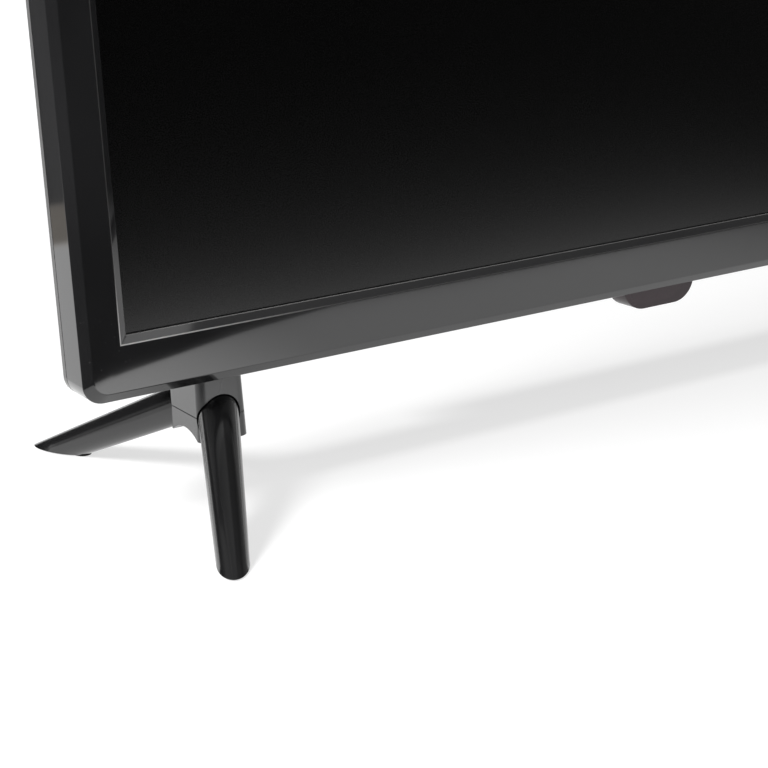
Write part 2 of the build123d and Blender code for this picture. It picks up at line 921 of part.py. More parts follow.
def transformer():
    """The transformer: a wound bobbin between two core halves."""
    centre = transformer_centre_height
    x = -transformer_x
    core = block(x, board_back, centre, transformer_width, transformer_depth, transformer_height)
    window_rise = (transformer_height - core_limb_count * transformer_core) / 2
    for side in (-1, 1):
        height = centre + side * (transformer_core + window_rise) / 2
        width = transformer_width - 2 * transformer_core
        core -= block(x, board_back - overrun, height, width, transformer_depth + 2 * overrun, window_rise)
    return core


def transformer_winding():
    """The taped winding round the middle limb of the core."""
    centre = transformer_centre_height
    x = -transformer_x
    window_rise = (transformer_height - core_limb_count * transformer_core) / 2
    width = transformer_width - 2 * transformer_core - 2 * thread_clearance
    rise = transformer_core + 2 * (window_rise - thread_clearance)
    winding = block(x, board_back + fit_clearance, centre, width, transformer_depth, rise)
    limb_rise = transformer_core + 2 * thread_clearance
    limb_length = transformer_depth + overrun + thread_clearance
    return winding - block(x, board_back - overrun, centre, transformer_width, limb_length, limb_rise)


def power_capacitors():
    """Round capacitors that lie on the power board."""
    cans = []
    depth = board_back + capacitor_radius
    for index in range(capacitor_count):
        height = capacitor_height + (index - (capacitor_count - 1) / 2) * capacitor_pitch
        start = -capacitor_x - capacitor_length / 2
        cans.append(cross_rod(start, depth, height, capacitor_radius, capacitor_length))
    return Part() + cans


def panel_source_board():
    """The thin drive board along the panel's lower edge."""
    middle = source_board_bottom + source_board_height / 2
    return block(0, tray_back, middle, source_board_width, source_board_thickness, source_board_height)


def link_cable():
    """The flat cable that joins the power board to the main board, with its two plugs."""
    height = link_ribbon_height
    x = board_inner_x + plug_width
    cable = None
    for side in (-1, 1):
        plug = block(side * x, board_back, height, plug_width, plug_depth, ribbon_width)
        cable = plug if cable is None else cable + plug
    length = 2 * x
    return cable + block(0, board_back + plug_depth, height, length, ribbon_thickness, ribbon_width)


def panel_cable():
    """The flat cable from the main board's front down to the panel's drive board."""
    low = source_board_bottom + source_board_height / 2
    high = board_bottom + plug_width
    front = tray_back + source_board_thickness + ribbon_thickness / 2
    back = board_depth - ribbon_thickness / 2
    points = [(front, low), (front + plug_depth, low), (back - plug_depth, high), (back, high)]
    plane = Plane(origin=(panel_ribbon_x, 0, 0), x_dir=(0, 1, 0), z_dir=(1, 0, 0))
    line = Polyline(*points)
    wire = offset(line, amount=ribbon_thickness / 2, side=Side.BOTH, kind=Kind.INTERSECTION)
    return extrude(plane * make_face(wire), amount=ribbon_width)


def speaker(side):
    """One speaker box that fires down through the underside."""
    bottom = plastic_wall + speaker_lift
    depth = speaker_front + speaker_depth / 2
    x = side * speaker_x()
    box = standing_block(x, depth, bottom, speaker_width, speaker_depth, speaker_height)
    reach = speaker_width / 2 - speaker_cone_radius - 2 * speaker_surround
    for step in (-reach, 0, reach):
        seat = (Align.CENTER, Align.CENTER, Align.MIN)
        small = speaker_cone_radius * speaker_cap_share
        radius = min(speaker_cone_radius, speaker_depth / 2 - speaker_surround)
        cone = Cone(radius, small, speaker_cone_depth, align=seat)
        box -= Pos(x + step, depth, bottom) * cone
    return box


def speaker_mounts():
    """Soft blocks between the speaker boxes and the floor of the cover."""
    mounts = []
    depth = speaker_front + speaker_depth / 2
    for side in (-1, 1):
        for end in (-1, 1):
            x = side * speaker_x() + end * (speaker_width / 2 - speaker_lift / 2)
            mounts.append(standing_block(x, depth, plastic_wall, speaker_lift, speaker_depth, speaker_lift))
    return Part() + mounts


def key_heights():
    """The height of each key, from the top down."""
    top = key_centre_height + key_pitch * (key_count - 1) / 2
    return [top - index * key_pitch for index in range(key_count)]


def key_board_screw_heights():
    """The heights of the two screws of the key board."""
    reach = key_pitch * (key_count - 1) / 2 + key_board_end - standoff_radius
    return [key_centre_height - reach, key_centre_height + reach]


def rear_key(height):
    """One push key: crowned cap, keeper flange and stem."""
    flange_back = plateau_inner - fit_clearance
    flange_front = flange_back - key_flange_thickness
    cap_end = plateau_depth + key_stand_out
    cap = rod(key_column_x, flange_back, height, key_radius, cap_end - key_crown - flange_back)
    seat = (Align.CENTER, Align.CENTER, Align.MIN)
    crown = Cone(key_radius, key_radius - key_crown, key_crown, align=seat)
    key = cap + Pos(key_column_x, cap_end - key_crown, height) * Rot(X=-quarter_turn) * crown
    key += rod(key_column_x, flange_front, height, key_flange_radius, key_flange_thickness)
    stem_end = switch_top() + key_travel + fit_clearance
    return key + rod(key_column_x, stem_end, height, key_stem_radius, flange_front - stem_end)


def switch_top():
    """The depth that the switch plungers reach."""
    return key_board_depth + board_thickness + switch_height + switch_plunger_height


def key_board():
    """The narrow board behind the keys."""
    rise = key_pitch * (key_count - 1) + 2 * key_board_end
    board = block(key_column_x, key_board_depth, key_centre_height, key_board_width, board_thickness, rise)
    for height in key_board_screw_heights():
        radius = m3_radius + thread_clearance
        start = key_board_depth - overrun
        board -= rod(key_column_x, start, height, radius, board_thickness + 2 * overrun)
    return board


def key_board_screws():
    """The two screws that hold the key board to its posts."""
    screws = []
    for height in key_board_screw_heights():
        head = rod(key_column_x, key_board_depth - m3_head_height, height, m3_head_radius, m3_head_height)
        screws.append(head + rod(key_column_x, key_board_depth, height, m3_radius, m3_length))
    return Part() + screws


def key_switches():
    """The switches under the keys."""
    switches = []
    start = key_board_depth + board_thickness
    for height in key_heights():
        body = block(key_column_x, start, height, switch_size, switch_height, switch_size)
        plunger_start = start + switch_height
        body += rod(key_column_x, plunger_start, height, switch_plunger_radius, switch_plunger_height)
        switches.append(body)
    return Part() + switches


def remote_window():
    """The tinted window that hangs under the frame, with its tab and flange inside."""
    plane = Plane(origin=(0, window_front, 0), x_dir=(1, 0, 0), z_dir=(0, -1, 0))
    top = window_top_width / 2
    bottom = window_bottom_width / 2
    outline = Polygon((-top, 0), (-bottom, -window_drop), (bottom, -window_drop), (top, 0), align=None)
    low = outline.vertices().sort_by(Axis.Y)[0:2]
    outline = fillet(low, radius=window_corner_radius)
    lens = extrude(plane * outline, amount=-window_length)
    tab_rise = plastic_wall
    lens += standing_block(0, window_mid_depth, 0, window_tab_width, window_tab_length, tab_rise)
    flange_width = window_tab_width + 2 * (fit_clearance + window_flange)
    flange_length = window_tab_length + 2 * (fit_clearance + window_flange)
    flange = (flange_width, flange_length, window_flange_thickness)
    return lens + standing_block(0, window_mid_depth, plastic_wall, *flange)


def sensor_board():
    """The small board above the window, with its sensor and lamp."""
    width = sensor_post_spacing + 2 * sensor_post_radius
    length = sensor_board_length
    board = standing_block(0, window_mid_depth, sensor_board_lift, width, length, board_thickness)
    top = sensor_board_lift
    board += pillar(0, window_mid_depth, top - sensor_height, sensor_radius, sensor_height)
    return board


def leg_direction(side, way):
    """The unit direction of a leg: side is the stand's side, way is -1 to the front, 1 to the back."""
    slope = math.radians(leg_slope)
    splay = math.radians(leg_splay)
    level = math.cos(slope)
    return (side * math.sin(splay) * level, way * math.cos(splay) * level, -math.sin(slope))


def leg_cone(side, way, growth):
    """A leg's tapered round form, run past the floor, or its socket when grown."""
    direction = leg_direction(side, way)
    reach = (floor_clearance - apex_drop) / math.sin(math.radians(leg_slope))
    taper = (leg_top_radius - leg_foot_radius) / reach
    end = reach + leg_foot_radius * leg_overshoot_share
    start = leg_root - growth
    start_radius = leg_top_radius - taper * start + growth
    end_radius = leg_top_radius - taper * end + growth
    seat = (Align.CENTER, Align.CENTER, Align.MIN)
    apex = (side * apex_x, stand_depth_centre, -apex_drop)
    splay = math.radians(leg_splay)
    across = (side * way * math.cos(splay), -math.sin(splay), 0)
    axis_plane = Plane(origin=apex, x_dir=across, z_dir=direction)
    cone = axis_plane * Cone(start_radius, end_radius, end - start, align=seat)
    shift = tuple(start * part for part in direction)
    return Pos(*shift) * cone


def foot_centre(side, way):
    """The point where a leg's axis meets the floor."""
    run = (floor_clearance - apex_drop) / math.tan(math.radians(leg_slope))
    splay = math.radians(leg_splay)
    x = side * (apex_x + run * math.sin(splay))
    return x, stand_depth_centre + way * run * math.cos(splay)


def foot_pad(side, way):
    """A rubber pad under the heel of one leg."""
    x, depth = foot_centre(side, way)
    heel = leg_foot_radius / math.sin(math.radians(leg_slope))
    back = heel + pad_overhang - pad_length / 2
    splay = math.radians(leg_splay)
    pad_x = x - side * back * math.sin(splay)
    pad_y = depth - way * back * math.cos(splay)
    turn = quarter_turn - side * way * leg_splay
    outline = Pos(pad_x, pad_y, -floor_clearance) * Rot(Z=turn) * SlotOverall(pad_length, pad_width)
    return extrude(outline, amount=pad_thickness)


def leg_screw_place(side, way):
    """The X and depth of the screw that enters a leg from above, through the saddle."""
    splay = math.radians(leg_splay)
    x = side * (apex_x + leg_screw_offset * math.sin(splay))
    return x, stand_depth_centre + way * leg_screw_offset * math.cos(splay)


def leg(side, way):
    """One tapered round leg, cut flat at the foot."""
    depth = foot_centre(side, way)[1]
    size = cabinet_width
    floor = standing_block(side * apex_x, depth, -floor_clearance - size, size, size, size + foot_lift)
    body = leg_cone(side, way, 0) - floor - foot_pad(side, way)
    screw_x, screw_y = leg_screw_place(side, way)
    radius = leg_screw_radius + thread_clearance
    low = -leg_screw_sink - leg_screw_length
    return body - pillar(screw_x, screw_y, low, radius, leg_screw_length)


def peg_place(side, way):
    """The X and depth of one locating peg of a saddle."""
    return side * (stand_x - peg_offset), stand_depth_centre + way * peg_spacing / 2


def saddle_outline(height, growth):
    """The rounded outline of the saddle at one height."""
    width = saddle_width + 2 * growth
    length = saddle_length + 2 * growth
    return Pos(0, stand_depth_centre, height) * RectangleRounded(width, length, saddle_corner_radius + growth)


def saddle_form(side):
    """The whole saddle: a drafted block with round corners, an arched underside and two sockets."""
    body = loft([saddle_outline(0, 0), saddle_outline(-saddle_drop, saddle_draft)], ruled=True)
    width = saddle_width + 2 * (saddle_draft + overrun)
    centre = -(saddle_crown + saddle_arch_radius)
    body -= cross_rod(-width / 2, stand_depth_centre, centre, saddle_arch_radius, width)
    body = Pos(side * stand_x, 0, 0) * body
    for way in (-1, 1):
        body -= leg_cone(side, way, hood_clearance)
        screw_x, screw_y = leg_screw_place(side, way)
        shaft_radius = leg_screw_radius + fit_clearance
        body -= pillar(screw_x, screw_y, -apex_drop, shaft_radius, apex_drop)
        head_radius = leg_screw_head_radius + fit_clearance
        body -= pillar(screw_x, screw_y, -leg_screw_sink, head_radius, leg_screw_sink + overrun)
    shaft_radius = stand_screw_radius + fit_clearance
    body -= pillar(side * stand_x, stand_depth_centre, -saddle_drop, shaft_radius, saddle_drop + overrun)
    head_radius = stand_screw_head_radius + fit_clearance
    recess = saddle_drop - saddle_crown + stand_screw_recess
    return body - pillar(side * stand_x, stand_depth_centre, -saddle_drop, head_radius, recess)


def saddle_seam(side):
    """The fine groove where the cap meets the saddle."""
    growth = saddle_draft * saddle_parting / saddle_drop
    ring = extrude(saddle_outline(-saddle_parting, growth + overrun), amount=seam_width)
    ring -= extrude(saddle_outline(-saddle_parting, growth - seam_depth), amount=seam_width)
    return Pos(side * stand_x, 0, 0) * ring


def saddle_half(side, upper):
    """The saddle above its parting plane, or the cap below it."""
    size = saddle_length + saddle_drop
    height = -saddle_parting if upper else -saddle_parting - size
    region = standing_block(side * stand_x, stand_depth_centre, height, size, size, size)
    return saddle_form(side) & region


def stand_saddle(side):
    """The upper saddle with its two locating pegs."""
    saddle = saddle_half(side, True) - saddle_seam(side)
    for way in (-1, 1):
        saddle += pillar(*peg_place(side, way), 0, peg_radius, peg_height)
    return saddle


def stand_screw(side):
    """The long screw up through the cap and the saddle into the cabinet."""
    seat_height = stand_screw_recess - saddle_crown
    rise = stand_screw_rise - seat_height
    x = side * stand_x
    depth = stand_depth_centre
    screw = pillar(x, depth, seat_height, stand_screw_radius, rise)
    head_start = seat_height - stand_screw_head_height
    return screw + pillar(x, depth, head_start, stand_screw_head_radius, stand_screw_head_height)


def leg_screws(side):
    """The two short screws that hold the legs in the saddle."""
    screws = []
    for way in (-1, 1):
        x, depth = leg_screw_place(side, way)
        length = leg_screw_length - overrun
        shaft = pillar(x, depth, -leg_screw_sink - length, leg_screw_radius, length)
        head = pillar(x, depth, -leg_screw_sink, leg_screw_head_radius, leg_screw_head_height)
        screws.append(shaft + head)
    return Part() + screws


def stand_insert_body(side):
    """The brass insert's outer form in the cover's stand boss."""
    start = plastic_wall + stand_boss_height - stand_insert_height
    return pillar(side * stand_x, stand_depth_centre, start, stand_insert_radius, stand_insert_height)


def stand_inserts():
    """The two brass inserts that the stand screws enter."""
    inserts = []
    for side in (-1, 1):
        radius = stand_screw_radius + thread_clearance
        bore = pillar(side * stand_x, stand_depth_centre, 0, radius, stand_boss_height * 2)
        inserts.append(stand_insert_body(side) - bore)
    return Part() + inserts


def build_case():
    """Write the casing and its fasteners."""
    save(front_bezel(), "front_bezel")
    save(rear_cover(), "rear_cover")
    save(cover_screws(), "cover_screws")
    save(wall_mount_posts(), "wall_mount_posts")


def build_panel():
    """Write the display panel and its backlight."""
    save(lcd_cell(), "lcd_cell")
    save(panel_mid_frame(), "panel_mid_frame")
    save(optical_films(), "optical_films")
    save(diffuser_plate(), "diffuser_plate")
    save(backlight_tray(), "backlight_tray")
    save(reflector_sheet(), "reflector_sheet")
    save(led_bars(), "led_bars")
    save(led_lenses(), "led_lenses")
    save(panel_brackets(), "panel_brackets")
    save(panel_source_board(), "panel_source_board")
    save(panel_cable(), "panel_cable")


def build_boards():
    """Write the boards, sockets and what they carry."""
    save(circuit_board(1), "main_board")
    save(circuit_board(-1), "power_board")
    save(board_screws(), "board_screws")
    places = socket_places()
    save(Part() + [jack_socket(place) for place in places[0:2]], "audio_jacks")
    save(socket_shell(places[2]) + socket_tongue(places[2]), "usb_socket")
    hdmi = [socket_shell(place) + socket_tongue(place) for place in places[3:5]]
    save(Part() + hdmi, "hdmi_sockets")
    save(tuner_can(), "tuner_can")
    save(processor(), "main_processor")
    save(heatsink(), "processor_heatsink")
    save(mains_inlet(), "mains_inlet")
    save(inlet_pins(), "mains_inlet_pins")
    save(transformer(), "transformer_core")
    save(transformer_winding(), "transformer_winding")
    save(power_capacitors(), "power_capacitors")
    save(link_cable(), "board_link_cable")
    save(speaker(-1), "speaker_left")
    save(speaker(1), "speaker_right")
    save(speaker_mounts(), "speaker_mounts")


def build_controls():
    """Write the keys, the remote window and their boards."""
    for node, height in zip(key_names, key_heights()):
        save(rear_key(height), node)
    save(key_board(), "key_board")
    save(key_switches(), "key_switches")
    save(key_board_screws(), "key_board_screws")
    save(remote_window(), "remote_window")
    save(sensor_board(), "sensor_board")


def build_stands():
    """Write the two stands, one on each side."""
    for side, word in ((-1, "left"), (1, "right")):
        save(stand_saddle(side), "stand_saddle_" + word)
        save(saddle_half(side, False), "stand_cap_" + word)
        save(leg(side, -1), "front_leg_" + word)
        save(leg(side, 1), "rear_leg_" + word)
        save(stand_screw(side), "stand_screw_" + word)
        save(leg_screws(side), "leg_screws_" + word)
        save(Part() + [foot_pad(side, -1), foot_pad(side, 1)], "foot_pads_" + word)
    save(stand_inserts(), "stand_inserts")


os.makedirs("parts", exist_ok=True)
build_case()
build_panel()
build_boards()
build_controls()
build_stands()
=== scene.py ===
"""Studio scene of a flat screen television on splayed two-leg stands.

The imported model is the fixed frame. This script dresses every node of it, rebuilds the pieces whose
small radii and recesses catch the light, and sets up a pale floor, soft lamps and the camera.
Lengths are in metres, in the frame of the part: X to the viewer's right, Y to the back, Z up.
"""

from __future__ import annotations

import json
import logging
import math
from dataclasses import dataclass
from enum import Enum
from functools import cached_property
from typing import Any, Iterable

import bmesh
import bpy
from mathutils import Matrix, Vector

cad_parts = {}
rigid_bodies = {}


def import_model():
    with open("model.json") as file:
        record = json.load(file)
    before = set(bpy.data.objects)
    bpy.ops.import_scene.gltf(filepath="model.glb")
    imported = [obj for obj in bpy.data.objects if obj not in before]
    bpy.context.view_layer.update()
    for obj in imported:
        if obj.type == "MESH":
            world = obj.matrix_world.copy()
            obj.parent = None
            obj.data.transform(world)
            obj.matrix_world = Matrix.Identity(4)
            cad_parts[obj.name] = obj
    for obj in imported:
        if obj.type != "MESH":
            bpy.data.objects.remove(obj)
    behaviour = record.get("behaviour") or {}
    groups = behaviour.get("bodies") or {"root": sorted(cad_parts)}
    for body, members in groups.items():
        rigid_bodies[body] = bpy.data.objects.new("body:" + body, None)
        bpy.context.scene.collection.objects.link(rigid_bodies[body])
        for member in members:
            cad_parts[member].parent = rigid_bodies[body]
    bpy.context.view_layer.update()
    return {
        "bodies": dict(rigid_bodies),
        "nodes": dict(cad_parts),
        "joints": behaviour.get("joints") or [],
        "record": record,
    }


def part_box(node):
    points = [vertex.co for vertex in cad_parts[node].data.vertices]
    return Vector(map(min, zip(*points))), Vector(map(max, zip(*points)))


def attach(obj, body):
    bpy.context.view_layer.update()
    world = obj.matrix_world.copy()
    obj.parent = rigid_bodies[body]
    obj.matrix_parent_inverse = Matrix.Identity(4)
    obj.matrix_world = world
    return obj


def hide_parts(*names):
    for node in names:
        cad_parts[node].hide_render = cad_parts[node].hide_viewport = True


logging.basicConfig(level=logging.INFO, format="%(message)s")
LOG = logging.getLogger("television")

MM = 0.001

Colour = tuple[float, float, float]
Triple = tuple[float, float, float]
Range = tuple[float, float]
Socket = bpy.types.NodeSocket
SectionPlane = tuple[float, float, float, float, float]


class Ray(Enum):
    """Kinds of ray that the stage answers in its own way, by the name of their output."""

    CAMERA = "Is Camera Ray"
    GLOSSY = "Is Glossy Ray"
    TRANSMISSION = "Is Transmission Ray"
    DIFFUSE = "Is Diffuse Ray"


class Side(Enum):
    """The two stands, by the ending of their nodes' names."""

    LEFT = "_left"
    RIGHT = "_right"


@dataclass
class NodeBoard:
    """A short way to add and wire the nodes of one node tree."""

    tree: bpy.types.NodeTree

    def add(
        self, kind: str, inputs: dict[Any, Any] | None = None, **settings: Any
    ) -> bpy.types.Node:
        """Add one node.

        Args:
            kind: The node's type name in Blender.
            inputs: A value or a socket for each named or numbered input.
            settings: Properties of the node itself.

        Returns:
            The new node.
        """
        node = self.tree.nodes.new(kind)
        for name, value in settings.items():
            setattr(node, name, value)
        for name, value in (inputs or {}).items():
            if isinstance(value, Socket):
                self.link(value, node.inputs[name])
            else:
                node.inputs[name].default_value = value
        return node

    def link(self, source: Socket, target: Socket) -> None:
        """Wire an output to an input."""
        self.tree.links.new(source, target)

    def math(self, operation: str, first: Any, second: Any = 0.0, third: Any = None) -> Socket:
        """Combine values.

        Args:
            operation: The name of the sum to do.
            first: A value or socket.
            second: A value or socket.
            third: A value or socket, for the sums that take three.

        Returns:
            The socket with the result.
        """
        inputs = {0: first, 1: second}
        if third is not None:
            inputs[2] = third
        return self.add("ShaderNodeMath", inputs, operation=operation).outputs[0]

    def ramp(
        self, value: Socket, low: float, high: float, start: float = 0.0, end: float = 1.0
    ) -> Socket:
        """Map a range of values smoothly to another.

        Args:
            value: The socket to read.
            low: The value that gives start.
            high: The value that gives end.
            start: The result at and below low.
            end: The result at and above high.

        Returns:
            The socket with the mapped value.
        """
        inputs = {"Value": value, "From Min": low, "From Max": high, "To Min": start, "To Max": end}
        node = self.add("ShaderNodeMapRange", inputs, interpolation_type="SMOOTHSTEP")
        return node.outputs["Result"]

    def blend(self, share: Any, first: Any, second: Any) -> Socket:
        """Mix two colours.

        Args:
            share: How much of the second colour shows.
            first: A colour or socket.
            second: A colour or socket.

        Returns:
            The socket with the mixed colour.
        """
        node = self.add("ShaderNodeMix", {"Factor": share}, data_type="RGBA")
        for name, value in (("A", first), ("B", second)):
            target = next(s for s in node.inputs if s.name == name and s.type == "RGBA")
            if isinstance(value, Socket):
                self.link(value, target)
            else:
                target.default_value = (*value, 1.0)
        return next(s for s in node.outputs if s.type == "RGBA")

    def place(self, stretch: Triple = (1.0, 1.0, 1.0)) -> Socket:
        """Give the object's own coordinates.

        Args:
            stretch: How many times finer a pattern gets along each axis.

        Returns:
            The vector socket.
        """
        coordinates = self.add("ShaderNodeTexCoord").outputs["Object"]
        mapping = self.add("ShaderNodeMapping", {"Vector": coordinates, "Scale": stretch})
        return mapping.outputs["Vector"]

    def noise(self, place: Socket, scale: Any, detail: float, roughness: float = 0.5) -> Socket:
        """Give soft noise; detail counts its finer layers, and roughness is their strength."""
        inputs = {"Vector": place, "Scale": scale, "Detail": detail, "Roughness": roughness}
        return self.add("ShaderNodeTexNoise", inputs).outputs["Fac"]

    def cells(self, place: Socket, scale: Any, **settings: Any) -> Socket:
        """Give the distance to the middle of the nearest cell; scale is how fine they are."""
        inputs = {"Vector": place, "Scale": scale}
        return self.add("ShaderNodeTexVoronoi", inputs, **settings).outputs["Distance"]

    def bump(self, height: Socket, strength: float, distance: float) -> Socket:
        """Give normals that follow a height; distance is how high its peaks are, in metres."""
        inputs = {"Height": height, "Strength": strength, "Distance": distance}
        return self.add("ShaderNodeBump", inputs).outputs["Normal"]


@dataclass
class SurfaceEffects:
    """The shader groups that several finishes share, each built once."""

    wander_detail: float = 4.0
    wander_roughness: float = 0.55
    wander_range: Range = (0.3, 0.7)
    grain_detail: float = 2.0
    grain_range: Range = (0.35, 0.65)
    drift_scale: float = 9.0
    drift_detail: float = 3.0
    drift_range: Range = (0.56, 0.72)
    streak_stretch: Triple = (0.06, 1.0, 1.0)
    streak_detail: float = 5.0
    # The values from crease_range to top_share shape the painted crease highlight line.
    crease_range: Range = (0.12 * MM, 0.34 * MM)
    crease_rest: float = 0.1
    side_reach: float = 0.03
    side_rest: float = 0.08
    front_range: Range = (-19.3 * MM, -19.1 * MM)
    top_share: float = 0.7

    def group(
        self, name: str, inputs: dict[str, float], outputs: Iterable[str]
    ) -> tuple[NodeBoard, Any, Any]:
        """Make an empty group with its sockets.

        Args:
            name: The group's name.
            inputs: Each value input with its default.
            outputs: The value outputs.

        Returns:
            The board of the new group, its input node and its output node.
        """
        tree = bpy.data.node_groups.new(name, "ShaderNodeTree")
        for label, value in inputs.items():
            socket = tree.interface.new_socket(
                label, in_out="INPUT", socket_type="NodeSocketFloat"
            )
            socket.default_value = value
        for label in outputs:
            tree.interface.new_socket(label, in_out="OUTPUT", socket_type="NodeSocketFloat")
        board = NodeBoard(tree)
        return board, board.add("NodeGroupInput"), board.add("NodeGroupOutput")

    @cached_property
    def wander(self) -> bpy.types.NodeTree:
        """Give the group for slow, uneven change over a surface.

        Returns:
            The group.
        """
        board, given, result = self.group("slow_wander", {"Scale": 12.0}, ["Value"])
        scale = given.outputs["Scale"]
        noise = board.noise(board.place(), scale, self.wander_detail, self.wander_roughness)
        board.link(board.ramp(noise, *self.wander_range), result.inputs["Value"])
        return board.tree

    @cached_property
    def grain(self) -> bpy.types.NodeTree:
        """Give the group for the fine pebbled grain of moulded plastic.

        Returns:
            The group.
        """
        outputs = ["Height", "Mask"]
        board, given, result = self.group("moulded_grain", {"Scale": 900.0}, outputs)
        scale = given.outputs["Scale"]
        place = board.place()
        noise = board.noise(place, scale, self.grain_detail)
        height = board.math("ADD", noise, board.cells(place, scale))
        board.link(height, result.inputs["Height"])
        board.link(board.ramp(noise, *self.grain_range), result.inputs["Mask"])
        return board.tree

    @cached_property
    def dust(self) -> bpy.types.NodeTree:
        """Give the group for sparse specks of dust.

        Returns:
            The group.
        """
        inputs = {"Scale": 260.0, "Reach": 0.12}
        board, given, result = self.group("dust_specks", inputs, ["Mask"])
        place = board.place()
        cells = board.cells(place, given.outputs["Scale"])
        near = board.math("LESS_THAN", cells, given.outputs["Reach"])
        drift = board.noise(place, self.drift_scale, self.drift_detail)
        crowd = board.ramp(drift, *self.drift_range)
        board.link(board.math("MULTIPLY", near, crowd), result.inputs["Mask"])
        return board.tree

    @cached_property
    def streaks(self) -> bpy.types.NodeTree:
        """Give the group for the long fine lines of rolled or drawn metal.

        Returns:
            The group.
        """
        board, given, result = self.group("drawn_streaks", {"Scale": 120.0}, ["Value"])
        place = board.place(self.streak_stretch)
        noise = board.noise(place, given.outputs["Scale"], self.streak_detail)
        board.link(noise, result.inputs["Value"])
        return board.tree

    @cached_property
    def painted_crease_highlights(self) -> bpy.types.NodeTree:
        """Give the group for a painted highlight: a pale line along a crease round the screen.

        The line is brightest at the corners, fades along the edge within Reach, and ends at the
        height Top.

        Returns:
            The group.
        """
        inputs = {"Half Width": 0.26, "Half Height": 0.15, "Middle": 0.22, "Reach": 0.1}
        inputs["Top"] = 1.0
        board, given, result = self.group("painted_crease_highlights", inputs, ["Mask"])
        parts = board.add("ShaderNodeSeparateXYZ", {"Vector": board.place()})
        x, y, z = (parts.outputs[axis] for axis in "XYZ")
        across = board.math("ABSOLUTE", x)
        up = board.math("ABSOLUTE", board.math("SUBTRACT", z, given.outputs["Middle"]))
        past_side = board.math("SUBTRACT", across, given.outputs["Half Width"])
        past_end = board.math("SUBTRACT", up, given.outputs["Half Height"])
        off = board.math("ABSOLUTE", board.math("MAXIMUM", past_side, past_end))
        line = board.ramp(off, *self.crease_range, 1.0, 0.0)
        along = board.math("SUBTRACT", past_end, past_side)
        run = board.math("DIVIDE", along, given.outputs["Reach"])
        below = board.ramp(run, 0.0, 1.0, 1.0, self.crease_rest)
        beside = board.ramp(along, -self.side_reach, 0.0, self.side_rest, 1.0)
        fade = board.math("MULTIPLY", below, beside)
        faces_front = board.ramp(y, *self.front_range, 1.0, 0.0)
        rise = board.math("DIVIDE", z, given.outputs["Top"])
        low = board.ramp(rise, self.top_share, 1.0, 1.0, 0.0)
        lit = board.math("MULTIPLY", line, fade)
        mask = board.math("MULTIPLY", lit, board.math("MULTIPLY", faces_front, low))
        board.link(mask, result.inputs["Mask"])
        return board.tree


EFFECTS = SurfaceEffects()
PLASTIC_IOR = 1.5
# Where the painted crease highlight lines run: the outer one round the bevel's mouth, the inner one
# round its throat.
OUTER_CREASE = {
    "Half Width": 264.6 * MM,
    "Half Height": 150.6 * MM,
    "Middle": 222.1 * MM,
    "Reach": 0.1,
}
INNER_CREASE = {
    "Half Width": 261.4 * MM,
    "Half Height": 147.4 * MM,
    "Middle": 222.1 * MM,
    "Reach": 0.6,
    "Top": 0.12,
}


@dataclass(frozen=True)
class Finish:
    """What every finish of the set has in common."""

    slot: str
    colour: Colour
    shade: Colour
    roughness: float

    def start(self) -> tuple[bpy.types.Material, NodeBoard, bpy.types.Node]:
        """Make the material with its plain shader.

        Returns:
            The material, its board and its Principled shader.
        """
        material = bpy.data.materials.new(self.slot)
        material.use_nodes = True
        board = NodeBoard(material.node_tree)
        shader = next(n for n in material.node_tree.nodes if n.type == "BSDF_PRINCIPLED")
        return material, board, shader

    def use(self, board: NodeBoard, tree: bpy.types.NodeTree, **inputs: float) -> bpy.types.Node:
        """Place a shared group in a material, with values for its inputs."""
        return board.add("ShaderNodeGroup", dict(inputs), node_tree=tree)

    def build(self) -> bpy.types.Material:
        """Make the material; each finish has its own way."""
        raise NotImplementedError


